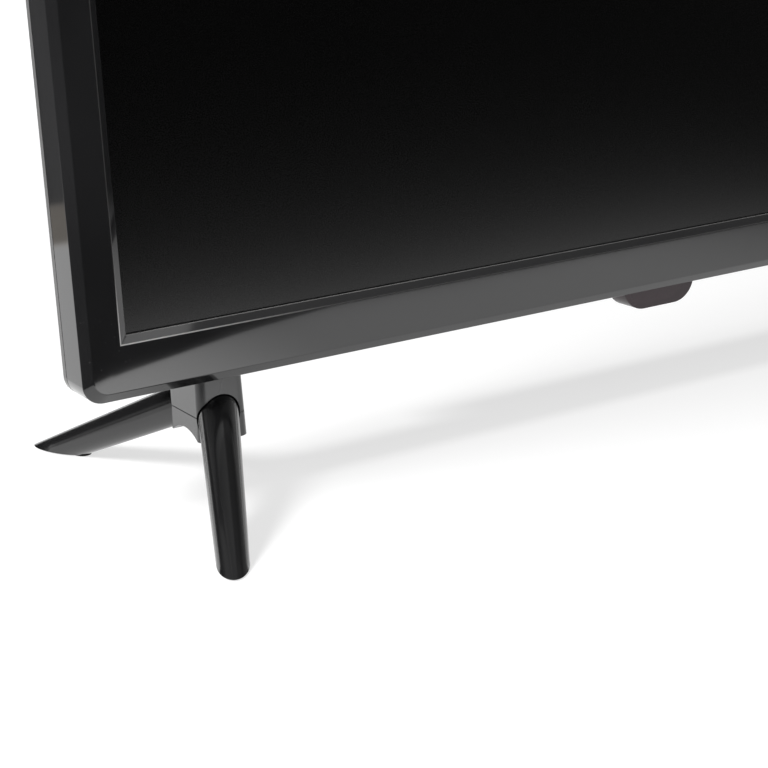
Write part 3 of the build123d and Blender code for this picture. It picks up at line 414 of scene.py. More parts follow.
@dataclass(frozen=True)
class PolishedPlastic(Finish):
    """Black plastic with a mirror-like skin, faint haze, a little dust and, where asked, painted
    highlight lines along the creases round the screen.
    """

    coat: float = 1.0
    coat_roughness: float = 0.03
    haze: float = 0.05
    wander_scale: float = 14.0
    speck_scale: float = 420.0
    speck_reach: float = 0.1
    dust_share: float = 0.12
    dust_colour: Colour = (0.35, 0.34, 0.33)
    crease_highlight_share: float = 0.0
    inner_share: float = 0.4
    crease_highlight_colour: Colour = (0.76, 0.75, 0.74)
    flow_scale: float = 90.0
    flow_strength: float = 0.02
    flow_height: float = 0.2 * MM

    def paint_crease_highlights(self, board: NodeBoard, colour: Socket) -> Socket:
        """Add the painted highlight lines along the creases round the screen.

        Args:
            board: The material's board.
            colour: The socket with the colour so far.

        Returns:
            The socket with the colour and its lines.
        """
        creases = EFFECTS.painted_crease_highlights
        outer = board.add("ShaderNodeGroup", OUTER_CREASE, node_tree=creases).outputs["Mask"]
        inner = board.add("ShaderNodeGroup", INNER_CREASE, node_tree=creases).outputs["Mask"]
        weak = board.math("MULTIPLY", inner, self.inner_share)
        both = board.math("MAXIMUM", outer, weak)
        pale = board.math("MULTIPLY", both, self.crease_highlight_share)
        return board.blend(pale, colour, self.crease_highlight_colour)

    def build(self) -> bpy.types.Material:
        """Make the material.

        Returns:
            The finished material.
        """
        material, board, shader = self.start()
        wander = self.use(board, EFFECTS.wander, Scale=self.wander_scale).outputs["Value"]
        sizes = {"Scale": self.speck_scale, "Reach": self.speck_reach}
        specks = self.use(board, EFFECTS.dust, **sizes).outputs["Mask"]
        dusty = board.math("MULTIPLY", specks, self.dust_share)
        base = board.blend(wander, self.colour, self.shade)
        colour = board.blend(dusty, base, self.dust_colour)
        # Painted highlight: pale lines along the creases round the screen, mixed into the base
        # colour.
        if self.crease_highlight_share > 0.0:
            colour = self.paint_crease_highlights(board, colour)
        board.link(colour, shader.inputs["Base Color"])
        rough = board.math("MULTIPLY_ADD", wander, self.haze, self.roughness)
        board.link(board.math("ADD", rough, dusty), shader.inputs["Roughness"])
        shader.inputs["Coat Weight"].default_value = self.coat
        shader.inputs["Coat Roughness"].default_value = self.coat_roughness
        flow = board.noise(board.place(), self.flow_scale, 1.0)
        normal = board.bump(flow, self.flow_strength, self.flow_height)
        board.link(normal, shader.inputs["Normal"])
        return material


@dataclass(frozen=True)
class MouldedPlastic(Finish):
    """Plastic or rubber with a fine moulded grain."""

    grain_scale: float = 1500.0
    grain_depth: float = 0.25
    grain_height: float = 0.1 * MM
    wander_scale: float = 9.0
    least_share: float = 0.5
    smoother: float = 0.04
    rougher: float = 0.05
    specular: float = 0.5
    sheen: float = 0.0

    def build(self) -> bpy.types.Material:
        """Make the material.

        Returns:
            The finished material.
        """
        material, board, shader = self.start()
        shader.inputs["Sheen Weight"].default_value = self.sheen
        grain = self.use(board, EFFECTS.grain, Scale=self.grain_scale)
        wander = self.use(board, EFFECTS.wander, Scale=self.wander_scale).outputs["Value"]
        patches = board.ramp(wander, 0.0, 1.0, self.least_share, 1.0)
        share = board.math("MULTIPLY", grain.outputs["Mask"], patches)
        board.link(board.blend(share, self.colour, self.shade), shader.inputs["Base Color"])
        smooth, rough = self.roughness - self.smoother, self.roughness + self.rougher
        board.link(board.ramp(wander, 0.0, 1.0, smooth, rough), shader.inputs["Roughness"])
        shader.inputs["Specular IOR Level"].default_value = self.specular
        normal = board.bump(grain.outputs["Height"], self.grain_depth, self.grain_height)
        board.link(normal, shader.inputs["Normal"])
        return material


@dataclass(frozen=True)
class WorkedMetal(Finish):
    """Rolled, drawn or plated metal with fine lines."""

    line_scale: float = 260.0
    line_range: Range = (0.3, 0.7)
    line_depth: float = 0.08
    line_height: float = 0.1 * MM
    wander_scale: float = 30.0
    spread: float = 0.06
    metallic: float = 1.0

    def build(self) -> bpy.types.Material:
        """Make the material.

        Returns:
            The finished material.
        """
        material, board, shader = self.start()
        lines = self.use(board, EFFECTS.streaks, Scale=self.line_scale).outputs["Value"]
        wander = self.use(board, EFFECTS.wander, Scale=self.wander_scale).outputs["Value"]
        share = board.math("MULTIPLY", lines, wander)
        board.link(board.blend(share, self.colour, self.shade), shader.inputs["Base Color"])
        smooth, rough = self.roughness - self.spread, self.roughness + self.spread
        board.link(board.ramp(lines, *self.line_range, smooth, rough), shader.inputs["Roughness"])
        shader.inputs["Metallic"].default_value = self.metallic
        board.link(board.bump(lines, self.line_depth, self.line_height), shader.inputs["Normal"])
        return material


@dataclass(frozen=True)
class ScreenGlass(Finish):
    """The matte face of the display, nearly black when it is off."""

    wander_scale: float = 4.0
    sparkle_scale: float = 2600.0
    spread: float = 0.02
    specular: float = 0.95

    def build(self) -> bpy.types.Material:
        """Make the material.

        Returns:
            The finished material.
        """
        material, board, shader = self.start()
        wander = self.use(board, EFFECTS.wander, Scale=self.wander_scale).outputs["Value"]
        grain = self.use(board, EFFECTS.grain, Scale=self.sparkle_scale).outputs["Mask"]
        board.link(board.blend(wander, self.colour, self.shade), shader.inputs["Base Color"])
        smooth, rough = self.roughness - self.spread, self.roughness + self.spread
        board.link(board.ramp(grain, 0.0, 1.0, smooth, rough), shader.inputs["Roughness"])
        shader.inputs["Specular IOR Level"].default_value = self.specular
        shader.inputs["IOR"].default_value = PLASTIC_IOR
        return material


@dataclass(frozen=True)
class SmokedPlastic(Finish):
    """Tinted translucent plastic that lets infrared light through."""

    wander_scale: float = 40.0
    rougher: float = 0.06
    transmission: float = 0.25

    def build(self) -> bpy.types.Material:
        """Make the material.

        Returns:
            The finished material.
        """
        material, board, shader = self.start()
        wander = self.use(board, EFFECTS.wander, Scale=self.wander_scale).outputs["Value"]
        board.link(board.blend(wander, self.colour, self.shade), shader.inputs["Base Color"])
        rough = board.ramp(wander, 0.0, 1.0, self.roughness, self.roughness + self.rougher)
        board.link(rough, shader.inputs["Roughness"])
        shader.inputs["Transmission Weight"].default_value = self.transmission
        shader.inputs["IOR"].default_value = PLASTIC_IOR
        return material


@dataclass(frozen=True)
class CircuitLaminate(Finish):
    """A circuit board with tracks under its varnish."""

    track_scale: float = 420.0
    track_start: float = 0.62
    track_depth: float = 0.2
    track_height: float = 0.1 * MM
    wander_scale: float = 25.0
    smoother: float = 0.05
    rougher: float = 0.1

    def build(self) -> bpy.types.Material:
        """Make the material.

        Returns:
            The finished material.
        """
        material, board, shader = self.start()
        settings = {"distance": "MANHATTAN", "feature": "F1"}
        cells = board.cells(board.place(), self.track_scale, **settings)
        track = board.math("GREATER_THAN", cells, self.track_start)
        board.link(board.blend(track, self.colour, self.shade), shader.inputs["Base Color"])
        wander = self.use(board, EFFECTS.wander, Scale=self.wander_scale).outputs["Value"]
        smooth, rough = self.roughness - self.smoother, self.roughness + self.rougher
        board.link(board.ramp(wander, 0.0, 1.0, smooth, rough), shader.inputs["Roughness"])
        board.link(board.bump(track, self.track_depth, self.track_height), shader.inputs["Normal"])
        return material


def case_finishes() -> list[Finish]:
    """Give the finishes of what is seen from outside.

    Returns:
        One finish for each slot.
    """
    return [
        # gloss_black carries the painted crease highlight lines.
        PolishedPlastic(
            "gloss_black", (0.019, 0.019, 0.0199), (0.026, 0.026, 0.0272), 0.05, crease_highlight_share=0.95
        ),
        PolishedPlastic(
            "leg_gloss",
            (0.007, 0.007, 0.0074),
            (0.011, 0.011, 0.0115),
            0.17,
            haze=0.035,
            coat=0.6,
            coat_roughness=0.1,
        ),
        PolishedPlastic(
            "saddle_plastic",
            (0.034, 0.034, 0.0356),
            (0.042, 0.042, 0.0437),
            0.24,
            coat=0.9,
            coat_roughness=0.18,
        ),
        MouldedPlastic(
            "cover_black",
            (0.03, 0.03, 0.031),
            (0.042, 0.042, 0.043),
            0.42,
            grain_depth=0.2,
            specular=1.0,
            sheen=0.55,
        ),
        MouldedPlastic(
            "key_plastic", (0.02, 0.02, 0.021), (0.03, 0.03, 0.031), 0.4, grain_scale=2200.0
        ),
        MouldedPlastic(
            "pad_rubber", (0.01, 0.01, 0.01), (0.018, 0.018, 0.018), 0.7, specular=0.3
        ),
        WorkedMetal("screw_steel", (0.1, 0.1, 0.105), (0.2, 0.2, 0.21), 0.32, line_scale=900.0),
        WorkedMetal("post_steel", (0.58, 0.59, 0.6), (0.68, 0.69, 0.7), 0.36),
        ScreenGlass("screen_glass", (0.0006, 0.0006, 0.0006), (0.001, 0.001, 0.001), 0.28),
        SmokedPlastic("window_tint", (0.05, 0.026, 0.034), (0.062, 0.034, 0.043), 0.08),
    ]


def inner_finishes() -> list[Finish]:
    """Give the finishes of what is inside the case.

    Returns:
        One finish for each slot.
    """
    return [
        MouldedPlastic("frame_plastic", (0.03, 0.03, 0.03), (0.045, 0.045, 0.045), 0.5),
        MouldedPlastic(
            "film_sheet", (0.82, 0.83, 0.83), (0.88, 0.89, 0.89), 0.55, grain_depth=0.05
        ),
        MouldedPlastic(
            "lamp_strip", (0.78, 0.78, 0.74), (0.85, 0.85, 0.82), 0.45, grain_depth=0.1
        ),
        MouldedPlastic("lens_clear", (0.8, 0.82, 0.83), (0.88, 0.9, 0.9), 0.12, grain_depth=0.02),
        MouldedPlastic("chip_black", (0.016, 0.016, 0.016), (0.026, 0.026, 0.026), 0.6),
        MouldedPlastic(
            "core_ferrite", (0.07, 0.07, 0.075), (0.1, 0.1, 0.105), 0.7, grain_depth=0.5
        ),
        MouldedPlastic(
            "winding_tape", (0.72, 0.56, 0.09), (0.8, 0.66, 0.14), 0.3, grain_scale=300.0
        ),
        MouldedPlastic(
            "soft_rubber", (0.025, 0.025, 0.025), (0.04, 0.04, 0.04), 0.9, grain_depth=0.8
        ),
        WorkedMetal("heatsink_aluminium", (0.66, 0.67, 0.68), (0.76, 0.77, 0.78), 0.34),
        WorkedMetal(
            "socket_metal", (0.62, 0.63, 0.64), (0.72, 0.73, 0.74), 0.3, line_scale=500.0
        ),
        WorkedMetal("pin_brass", (0.74, 0.6, 0.3), (0.82, 0.7, 0.42), 0.28, line_scale=700.0),
        CircuitLaminate("circuit_board", (0.02, 0.11, 0.05), (0.04, 0.2, 0.09), 0.4),
    ]


def rounded_loop(
    mesh: bmesh.types.BMesh, plane: SectionPlane, segments: int
) -> list[bmesh.types.BMEdge]:
    """Add a rounded rectangle that faces the viewer.

    Args:
        mesh: The mesh to add it to.
        plane: Its Y, width, height, middle height and corner radius.
        segments: How many edges each corner has.

    Returns:
        The edges of the loop.
    """
    depth, width, height, middle, radius = plane
    turn = Matrix.Translation((0.0, depth, middle)) @ Matrix.Rotation(math.pi / 2, 4, "X")
    stretch = Matrix.Diagonal((width / 2, height / 2, 1.0, 1.0))
    placed = turn @ stretch
    made = bmesh.ops.create_grid(mesh, x_segments=1, y_segments=1, size=1.0, matrix=placed)
    rounded = bmesh.ops.bevel(
        mesh,
        geom=made["verts"],
        offset=radius,
        segments=segments,
        profile=0.5,
        affect="VERTICES",
        material=-1,
    )
    face = max((f for v in rounded["verts"] for f in v.link_faces), key=lambda f: len(f.verts))
    edges = list(face.edges)
    bmesh.ops.delete(mesh, geom=[face], context="FACES_ONLY")
    return edges


def add_piece(
    name: str, mesh: bmesh.types.BMesh, material: bpy.types.Material, flat_angle: float
) -> bpy.types.Object:
    """Turn a mesh in the making into a finished object at the origin.

    Args:
        name: The piece's name.
        mesh: Its mesh, freed afterwards.
        material: Its material.
        flat_angle: Edges sharper than this, in degrees, stay crisp.

    Returns:
        The new object.
    """
    bmesh.ops.recalc_face_normals(mesh, faces=mesh.faces[:])
    for face in mesh.faces:
        face.smooth = True
    for edge in mesh.edges:
        edge.smooth = edge.is_manifold and edge.calc_face_angle(0.0) < math.radians(flat_angle)
    data = bpy.data.meshes.new(name)
    mesh.to_mesh(data)
    mesh.free()
    data.materials.append(material)
    piece = bpy.data.objects.new(name, data)
    bpy.context.scene.collection.objects.link(piece)
    return piece


def harden(piece: bpy.types.Object) -> None:
    """Let the large flat faces of a piece set its normals.

    Args:
        piece: The piece to change.
    """
    weighted = piece.modifiers.new("flat_faces_lead", "WEIGHTED_NORMAL")
    weighted.keep_sharp = True
    weighted.weight = 100


@dataclass
class SubAssembly:
    """Nodes that belong together, with the pieces that are rebuilt for them.
    """

    frame: dict[str, Any]
    finishes: dict[str, bpy.types.Material]
    nodes: tuple[str, ...] = ()

    def names(self) -> Iterable[str]:
        """Give the full names of the nodes."""
        return self.nodes

    def dress(self) -> None:
        """Give each node the finish that the record names for it."""
        slots = {row["node"]: row["material_slot"] for row in self.frame["record"]["subparts"]}
        for name in self.names():
            node = self.frame["nodes"][name]
            node.data.materials.clear()
            node.data.materials.append(self.finishes[slots[name]])
            LOG.info("%s: dressed as %s", name, slots[name])

    def attach(self, piece: bpy.types.Object, body: str, slot: str, *nodes: str) -> None:
        """Let a new piece stand for CAD nodes.

        Args:
            piece: The new piece.
            body: The CAD body that it moves with.
            slot: The material slot of its finish; not used.
            nodes: The CAD nodes that it replaces.
        """
        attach(piece, body)
        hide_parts(*nodes)
        faces = len(piece.data.polygons)
        LOG.info("%s: %d faces, stands for %s", piece.name, faces, ", ".join(nodes))

    def build(self) -> None:
        """Dress the nodes; a sub-assembly with new pieces makes them first."""
        self.dress()


@dataclass
class FrontFrame(SubAssembly):
    """The glossy front frame, with the small radii that its tool leaves on every crease."""

    nodes: tuple[str, ...] = ("front_bezel",)
    chamfer_width: float = 3.7 * MM
    chamfer_depth: float = 2.5 * MM
    corner_radius: float = 8.0 * MM
    lower_bar: float = 25.1 * MM
    opening_width: float = 522.8 * MM
    opening_height: float = 294.8 * MM
    bevel_width: float = 3.2 * MM
    bevel_depth: float = 2.0 * MM
    face_thickness: float = 3.0 * MM
    wall: float = 2.2 * MM
    crease_radius: float = 0.28 * MM
    crease_segments: int = 3
    crisp_angle: float = 35.0
    ladder_step: float = 30.0 * MM
    mitre_radius: float = 0.3 * MM
    corner_segments: int = 10

    def sections(self) -> list[SectionPlane]:
        """Give the rounded rectangles that the frame runs through.

        Returns:
            The rectangles, from the back of the outside round to the back of the inside.
        """
        low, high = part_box("front_bezel")
        width, height = high.x - low.x, high.z - low.z
        middle = (low.z + high.z) / 2
        front, back = low.y, high.y
        opening = low.z + self.lower_bar + self.opening_height / 2
        shrink = 2 * self.chamfer_width
        grow = 2 * self.bevel_width
        face_radius = self.corner_radius - self.chamfer_width / 2
        inner_radius = self.corner_radius - self.wall
        inner = (width - 2 * self.wall, height - 2 * self.wall, middle, inner_radius)
        throat = (self.opening_width, self.opening_height, opening, self.mitre_radius)
        mouth = (self.opening_width + grow, self.opening_height + grow, opening, self.mitre_radius)
        return [
            (back, width, height, middle, self.corner_radius),
            (front + self.chamfer_depth, width, height, middle, self.corner_radius),
            (front, width - shrink, height - shrink, middle, face_radius),
            (front, *mouth),
            (front + self.bevel_depth, *throat),
            (front + self.face_thickness, *throat),
            (front + self.face_thickness, *inner),
            (back, *inner),
        ]

    def build(self) -> None:
        """Make the frame and let it stand for the CAD node.

        The loops are bridged while they stand apart by ladder_step, and then moved to their places.
        """
        mesh = bmesh.new()
        sections = self.sections()
        loops = []
        for rung, plane in enumerate(sections):
            apart = (-rung * self.ladder_step, *plane[1:])
            loops.append(rounded_loop(mesh, apart, self.corner_segments))
        for first, second in zip(loops, loops[1:] + loops[:1]):
            bmesh.ops.bridge_loops(mesh, edges=first + second)
        for loop, plane in zip(loops, sections):
            for vertex in {v for edge in loop for v in edge.verts}:
                vertex.co.y = plane[0]
        mesh.normal_update()
        creases = [edge for loop in loops[1:5] for edge in loop]
        bmesh.ops.bevel(
            mesh,
            geom=creases,
            offset=self.crease_radius,
            segments=self.crease_segments,
            profile=0.5,
            affect="EDGES",
            material=-1,
            clamp_overlap=True,
        )
        piece = add_piece("front_frame", mesh, self.finishes["gloss_black"], self.crisp_angle)
        harden(piece)
        self.attach(piece, "cabinet", "gloss_black", "front_bezel")
        self.dress()


@dataclass
class CrossScrews(SubAssembly):
    """Screws with a cross recess that hold the back on."""

    nodes: tuple[str, ...] = ("cover_screws",)
    head_radius: float = 2.8 * MM
    head_height: float = 2.0 * MM
    recess_reach: float = 1.7 * MM
    recess_half_width: float = 0.42 * MM
    recess_depth: float = 1.1 * MM
    segments: int = 24
    flat_error: float = 0.02 * MM
    top_error: float = 0.1 * MM
    group_reach: float = 2.2
    crisp_angle: float = 35.0

    def places(self) -> list[Vector]:
        """Find the middle of each head from the CAD node's own vertices.

        Returns:
            The middle of each head's outer face.
        """
        head_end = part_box("cover_screws")[1].y
        vertices = bpy.data.objects["cover_screws"].data.vertices
        points = [v.co.copy() for v in vertices if head_end - v.co.y < self.flat_error]
        reach = self.group_reach * self.head_radius
        groups: list[list[Vector]] = []
        for point in points:
            home = next((g for g in groups if (g[0] - point).length < reach), None)
            if home is None:
                groups.append([point])
            else:
                home.append(point)
        return [sum(group, Vector()) / len(group) for group in groups]

    def head(self, mesh: bmesh.types.BMesh, centre: Vector) -> None:
        """Add one head with its recess.

        Args:
            mesh: The mesh to add it to.
            centre: The middle of the head's outer face.
        """
        middle = centre - Vector((0.0, self.head_height / 2, 0.0))
        turn = Matrix.Translation(middle) @ Matrix.Rotation(-math.pi / 2, 4, "X")
        made = bmesh.ops.create_cone(
            mesh,
            cap_ends=True,
            segments=self.segments,
            radius1=self.head_radius,
            radius2=self.head_radius,
            depth=self.head_height,
            matrix=turn,
        )
        caps = (f for v in made["verts"] for f in v.link_faces if len(f.verts) == self.segments)
        top = next(f for f in caps if f.calc_center_median().y > centre.y - self.top_error)
        parts: list[Any] = [top, *top.edges, *top.verts]
        reach, half_width = self.recess_reach, self.recess_half_width
        cuts = (-reach, -half_width, half_width, reach)
        for axis in (Vector((1, 0, 0)), Vector((0, 0, 1))):
            for shift in cuts:
                point = centre + axis * shift
                cut = bmesh.ops.bisect_plane(mesh, geom=parts, plane_co=point, plane_no=axis)
                parts = cut["geom"]
        cross = []
        for face in (g for g in parts if isinstance(g, bmesh.types.BMFace)):
            offset = face.calc_center_median() - centre
            near = min(abs(offset.x), abs(offset.z))
            far = max(abs(offset.x), abs(offset.z))
            if near < half_width and far < reach:
                cross.append(face)
        sunk = bmesh.ops.extrude_face_region(mesh, geom=cross)
        moved = [g for g in sunk["geom"] if isinstance(g, bmesh.types.BMVert)]
        bmesh.ops.delete(mesh, geom=cross, context="FACES_ONLY")
        bmesh.ops.translate(mesh, verts=moved, vec=(0.0, -self.recess_depth, 0.0))

    def build(self) -> None:
        """Make the screw heads and let them stand for the CAD node."""
        mesh = bmesh.new()
        for centre in self.places():
            self.head(mesh, centre)
        steel = self.finishes["screw_steel"]
        piece = add_piece("cover_screws_cross", mesh, steel, self.crisp_angle)
        self.attach(piece, "cabinet", "screw_steel", "cover_screws")
        self.dress()


@dataclass
class RearCase(SubAssembly):
    """The rear cover with its wall mount posts and stand inserts."""

    nodes: tuple[str, ...] = ("rear_cover", "wall_mount_posts", "stand_inserts")


@dataclass
class Panel(SubAssembly):
    """The display with its backlight, brackets and drive board."""

    nodes: tuple[str, ...] = (
        "lcd_cell",
        "panel_mid_frame",
        "optical_films",
        "diffuser_plate",
        "backlight_tray",
        "reflector_sheet",
        "led_bars",
        "led_lenses",
        "panel_brackets",
        "panel_source_board",
        "panel_cable",
    )


@dataclass
class Boards(SubAssembly):
    """The main board and the power board, with what stands on them."""

    nodes: tuple[str, ...] = (
        "main_board",
        "power_board",
        "board_screws",
        "main_processor",
        "processor_heatsink",
        "transformer_core",
        "transformer_winding",
        "power_capacitors",
        "board_link_cable",
    )


@dataclass
class Sockets(SubAssembly):
    """The sockets that open through the rear cover."""

    nodes: tuple[str, ...] = (
        "audio_jacks",
        "usb_socket",
        "hdmi_sockets",
        "tuner_can",
        "mains_inlet",
        "mains_inlet_pins",
    )


@dataclass
class Speakers(SubAssembly):
    """The two speakers on their soft blocks."""

    nodes: tuple[str, ...] = ("speaker_left", "speaker_right", "speaker_mounts")


@dataclass
class Controls(SubAssembly):
    """The rear keys with their board, and the remote window with its sensor."""

    nodes: tuple[str, ...] = (
        "key_power",
        "key_source",
        "key_menu",
        "key_volume_up",
        "key_volume_down",
        "key_channel_up",
        "key_channel_down",
        "key_board",
        "key_switches",
        "key_board_screws",
        "remote_window",
        "sensor_board",
    )


@dataclass
class Stand(SubAssembly):
    """One of the two splayed stands."""

    nodes: tuple[str, ...] = (
        "stand_saddle",
        "stand_cap",
        "front_leg",
        "rear_leg",
        "stand_screw",
        "leg_screws",
        "foot_pads",
    )
    side: Side = Side.LEFT

    def names(self) -> list[str]:
        """Give the full names of this stand's nodes."""
        return [node + self.side.value for node in self.nodes]


@dataclass
class Viewpoint:
    """The camera at the photograph's viewing angle.

    Its turn, tilt and roll are in degrees.
    """

    location: Triple = (-0.5162, -0.6392, 0.2495)
    turn: float = 30.638
    tilt: float = 16.71
    roll: float = -2.753
    focal_pixels: float = 1813.0
    frame_pixels: float = 768.0
    sensor: float = 36.0
    clip_start: float = 0.01
    clip_end: float = 60.0

    def build(self) -> bpy.types.Object:
        """Make the camera.

        Returns:
            The camera object.
        """
        data = bpy.data.cameras.new("viewpoint")
        data.sensor_width = self.sensor
        data.lens = self.sensor * self.focal_pixels / self.frame_pixels
        data.clip_start = self.clip_start
        data.clip_end = self.clip_end
        camera = bpy.data.objects.new("viewpoint", data)
        heading = Matrix.Rotation(-math.radians(self.turn), 4, "Z")
        nod = Matrix.Rotation(math.radians(90.0 - self.tilt), 4, "X")
        lean = Matrix.Rotation(math.radians(self.roll), 4, "Z")
        camera.matrix_world = Matrix.Translation(Vector(self.location)) @ heading @ nod @ lean
        bpy.context.scene.collection.objects.link(camera)
        bpy.context.scene.camera = camera
        LOG.info("viewpoint: lens %.2f mm", data.lens)
        return camera


@dataclass(frozen=True)
class PaperSheet:
    """The pale sheet under the set, as gloss sees it: where it ends, and how bright it is.

    Its front edge is what the lower bar mirrors as a diagonal. Behind the set it has a darker band
    that the side wall mirrors. Its brightness in gloss also carries a painted shadow under the set
    and a painted pool of light on its left.
    """

    level: float = 1.0
    dim: float = 0.012
    dim_back: float = 0.055
    dim_range: Range = (0.0, 0.3)
    side_share: float = 0.75
    side_start: float = -0.36
    side_end: float = -0.32
    under_left: float = -0.26
    under_right: float = -0.22
    painted_shadow_share: float = 0.66
    under_start: float = -0.12
    under_end: float = -0.04
    painted_light_gain: float = 1.25
    near_left: float = -0.21
    near_right: float = -0.07
    near_front: float = -0.17
    near_back: float = -0.1
    front_x: float = -0.101
    front_y: float = -0.252
    front_slope: float = -0.25
    front_left_slope: float = -0.39
    front_bend: float = 0.004
    front_stop: float = -0.017
    front_blur: float = 0.002
    left_x: float = -0.22
    left_y: float = -0.200
    left_slope: float = -1.5
    left_blur: float = 0.012
    back_first: float = 0.495
    back_second: float = 0.634
    back_share: float = 0.36
    back_blur: float = 0.02
    right_start: float = 0.12
    right_end: float = 0.5
    back_tint: Colour = (1.1, 1.0, 0.88)

    def outline(self, board: NodeBoard, x: Socket, y: Socket) -> Socket:
        """Give where the sheet lies, up to its front and left edges.

        Args:
            board: The board of the floor's material.
            x: The socket with the place to the right.
            y: The socket with the place to the back.

        Returns:
            The socket that is 1 on the sheet.
        """
        past_bend = board.math("SUBTRACT", x, self.front_x)
        gentle = board.math("MULTIPLY", past_bend, self.front_slope)
        steep = board.math("MULTIPLY", past_bend, self.front_left_slope)
        edge = board.math("SMOOTH_MAX", gentle, steep, self.front_bend)
        edge = board.math("SMOOTH_MAX", edge, self.front_stop, self.front_bend)
        ahead = board.math("SUBTRACT", board.math("SUBTRACT", y, self.front_y), edge)
        front = board.ramp(ahead, -self.front_blur, self.front_blur)
        edge_offset = self.left_x - self.left_slope * self.left_y
        side_line = board.math("MULTIPLY", y, self.left_slope)
        beside = board.math("SUBTRACT", board.math("SUBTRACT", x, side_line), edge_offset)
        left = board.ramp(beside, -self.left_blur, self.left_blur)
        return board.math("MULTIPLY", front, left)

    def strength(self, board: NodeBoard) -> tuple[Socket, Socket]:
        """Give how bright each spot of the floor is in a reflection.

        Args:
            board: The board of the floor's material.

        Returns:
            The socket with the strength, and the one with its colour.
        """
        parts = board.add("ShaderNodeSeparateXYZ", {"Vector": board.place()})
        x, y = parts.outputs["X"], parts.outputs["Y"]
        blur = self.back_blur
        first = board.ramp(y, self.back_first - blur, self.back_first + blur, 1.0, 0.0)
        second = board.ramp(y, self.back_second - blur, self.back_second + blur, 1.0, 0.0)
        back = board.math("MULTIPLY", board.ramp(first, 0.0, 1.0, self.back_share, 1.0), second)
        right = board.ramp(x, self.right_start, self.right_end, 1.0, 0.0)
        side = board.ramp(x, self.side_start, self.side_end, self.side_share, 1.0)
        # Painted shadow: the sheet's brightness in gloss drops under the set, where the set's own
        # shadow falls.
        under_y = board.ramp(y, self.under_start, self.under_end, 0.0, 1.0 - self.painted_shadow_share)
        under_x = board.ramp(x, self.under_left, self.under_right, 0.0, 1.0)
        under = board.math("SUBTRACT", 1.0, board.math("MULTIPLY", under_x, under_y))
        # Painted light: the sheet's brightness in gloss rises on the left, where the side lamp lights
        # it.
        near_x = board.ramp(x, self.near_left, self.near_right, self.painted_light_gain, 0.0)
        near_y = board.ramp(y, self.near_front, self.near_back, 1.0, 0.0)
        near = board.math("ADD", board.math("MULTIPLY", near_x, near_y), 1.0)
        total = self.outline(board, x, y)
        for share in (back, right, side, under, near):
            total = board.math("MULTIPLY", total, share)
        dim = board.ramp(y, *self.dim_range, self.dim, self.dim_back)
        glow = board.math("MAXIMUM", board.math("MULTIPLY", total, self.level), dim)
        band = board.math("MULTIPLY", board.math("SUBTRACT", 1.0, first), second)
        return glow, board.blend(band, (1.0, 1.0, 1.0), self.back_tint)


@dataclass(frozen=True)
class SoftLamp:
    """One soft square lamp.

    Its power is in watts, its width is the length of a side, and mirrored says whether gloss shows
    the lamp itself.
    """

    name: str
    place: Triple
    power: float
    width: float
    mirrored: bool
    aim: Triple = (0.0, 0.0, 0.1)

    def build(self) -> bpy.types.Object:
        """Make the lamp.

        Returns:
            The lamp object.
        """
        data = bpy.data.lights.new(self.name, "AREA")
        data.shape = "SQUARE"
        data.size = self.width
        data.energy = self.power
        lamp = bpy.data.objects.new(self.name, data)
        place = Vector(self.place)
        turn = (Vector(self.aim) - place).to_track_quat("-Z", "Y").to_matrix().to_4x4()
        lamp.matrix_world = Matrix.Translation(place) @ turn
        lamp.visible_glossy = self.mirrored
        bpy.context.scene.collection.objects.link(lamp)
        LOG.info("%s: %.0f W", self.name, self.power)
        return lamp


SOFT_LAMPS = (
    SoftLamp("side_lamp", (-1.7, 0.05, 1.6), 52.0, 0.8, False),
    SoftLamp("top_lamp", (0.05, -1.15, 2.4), 8.0, 1.7, True),
)


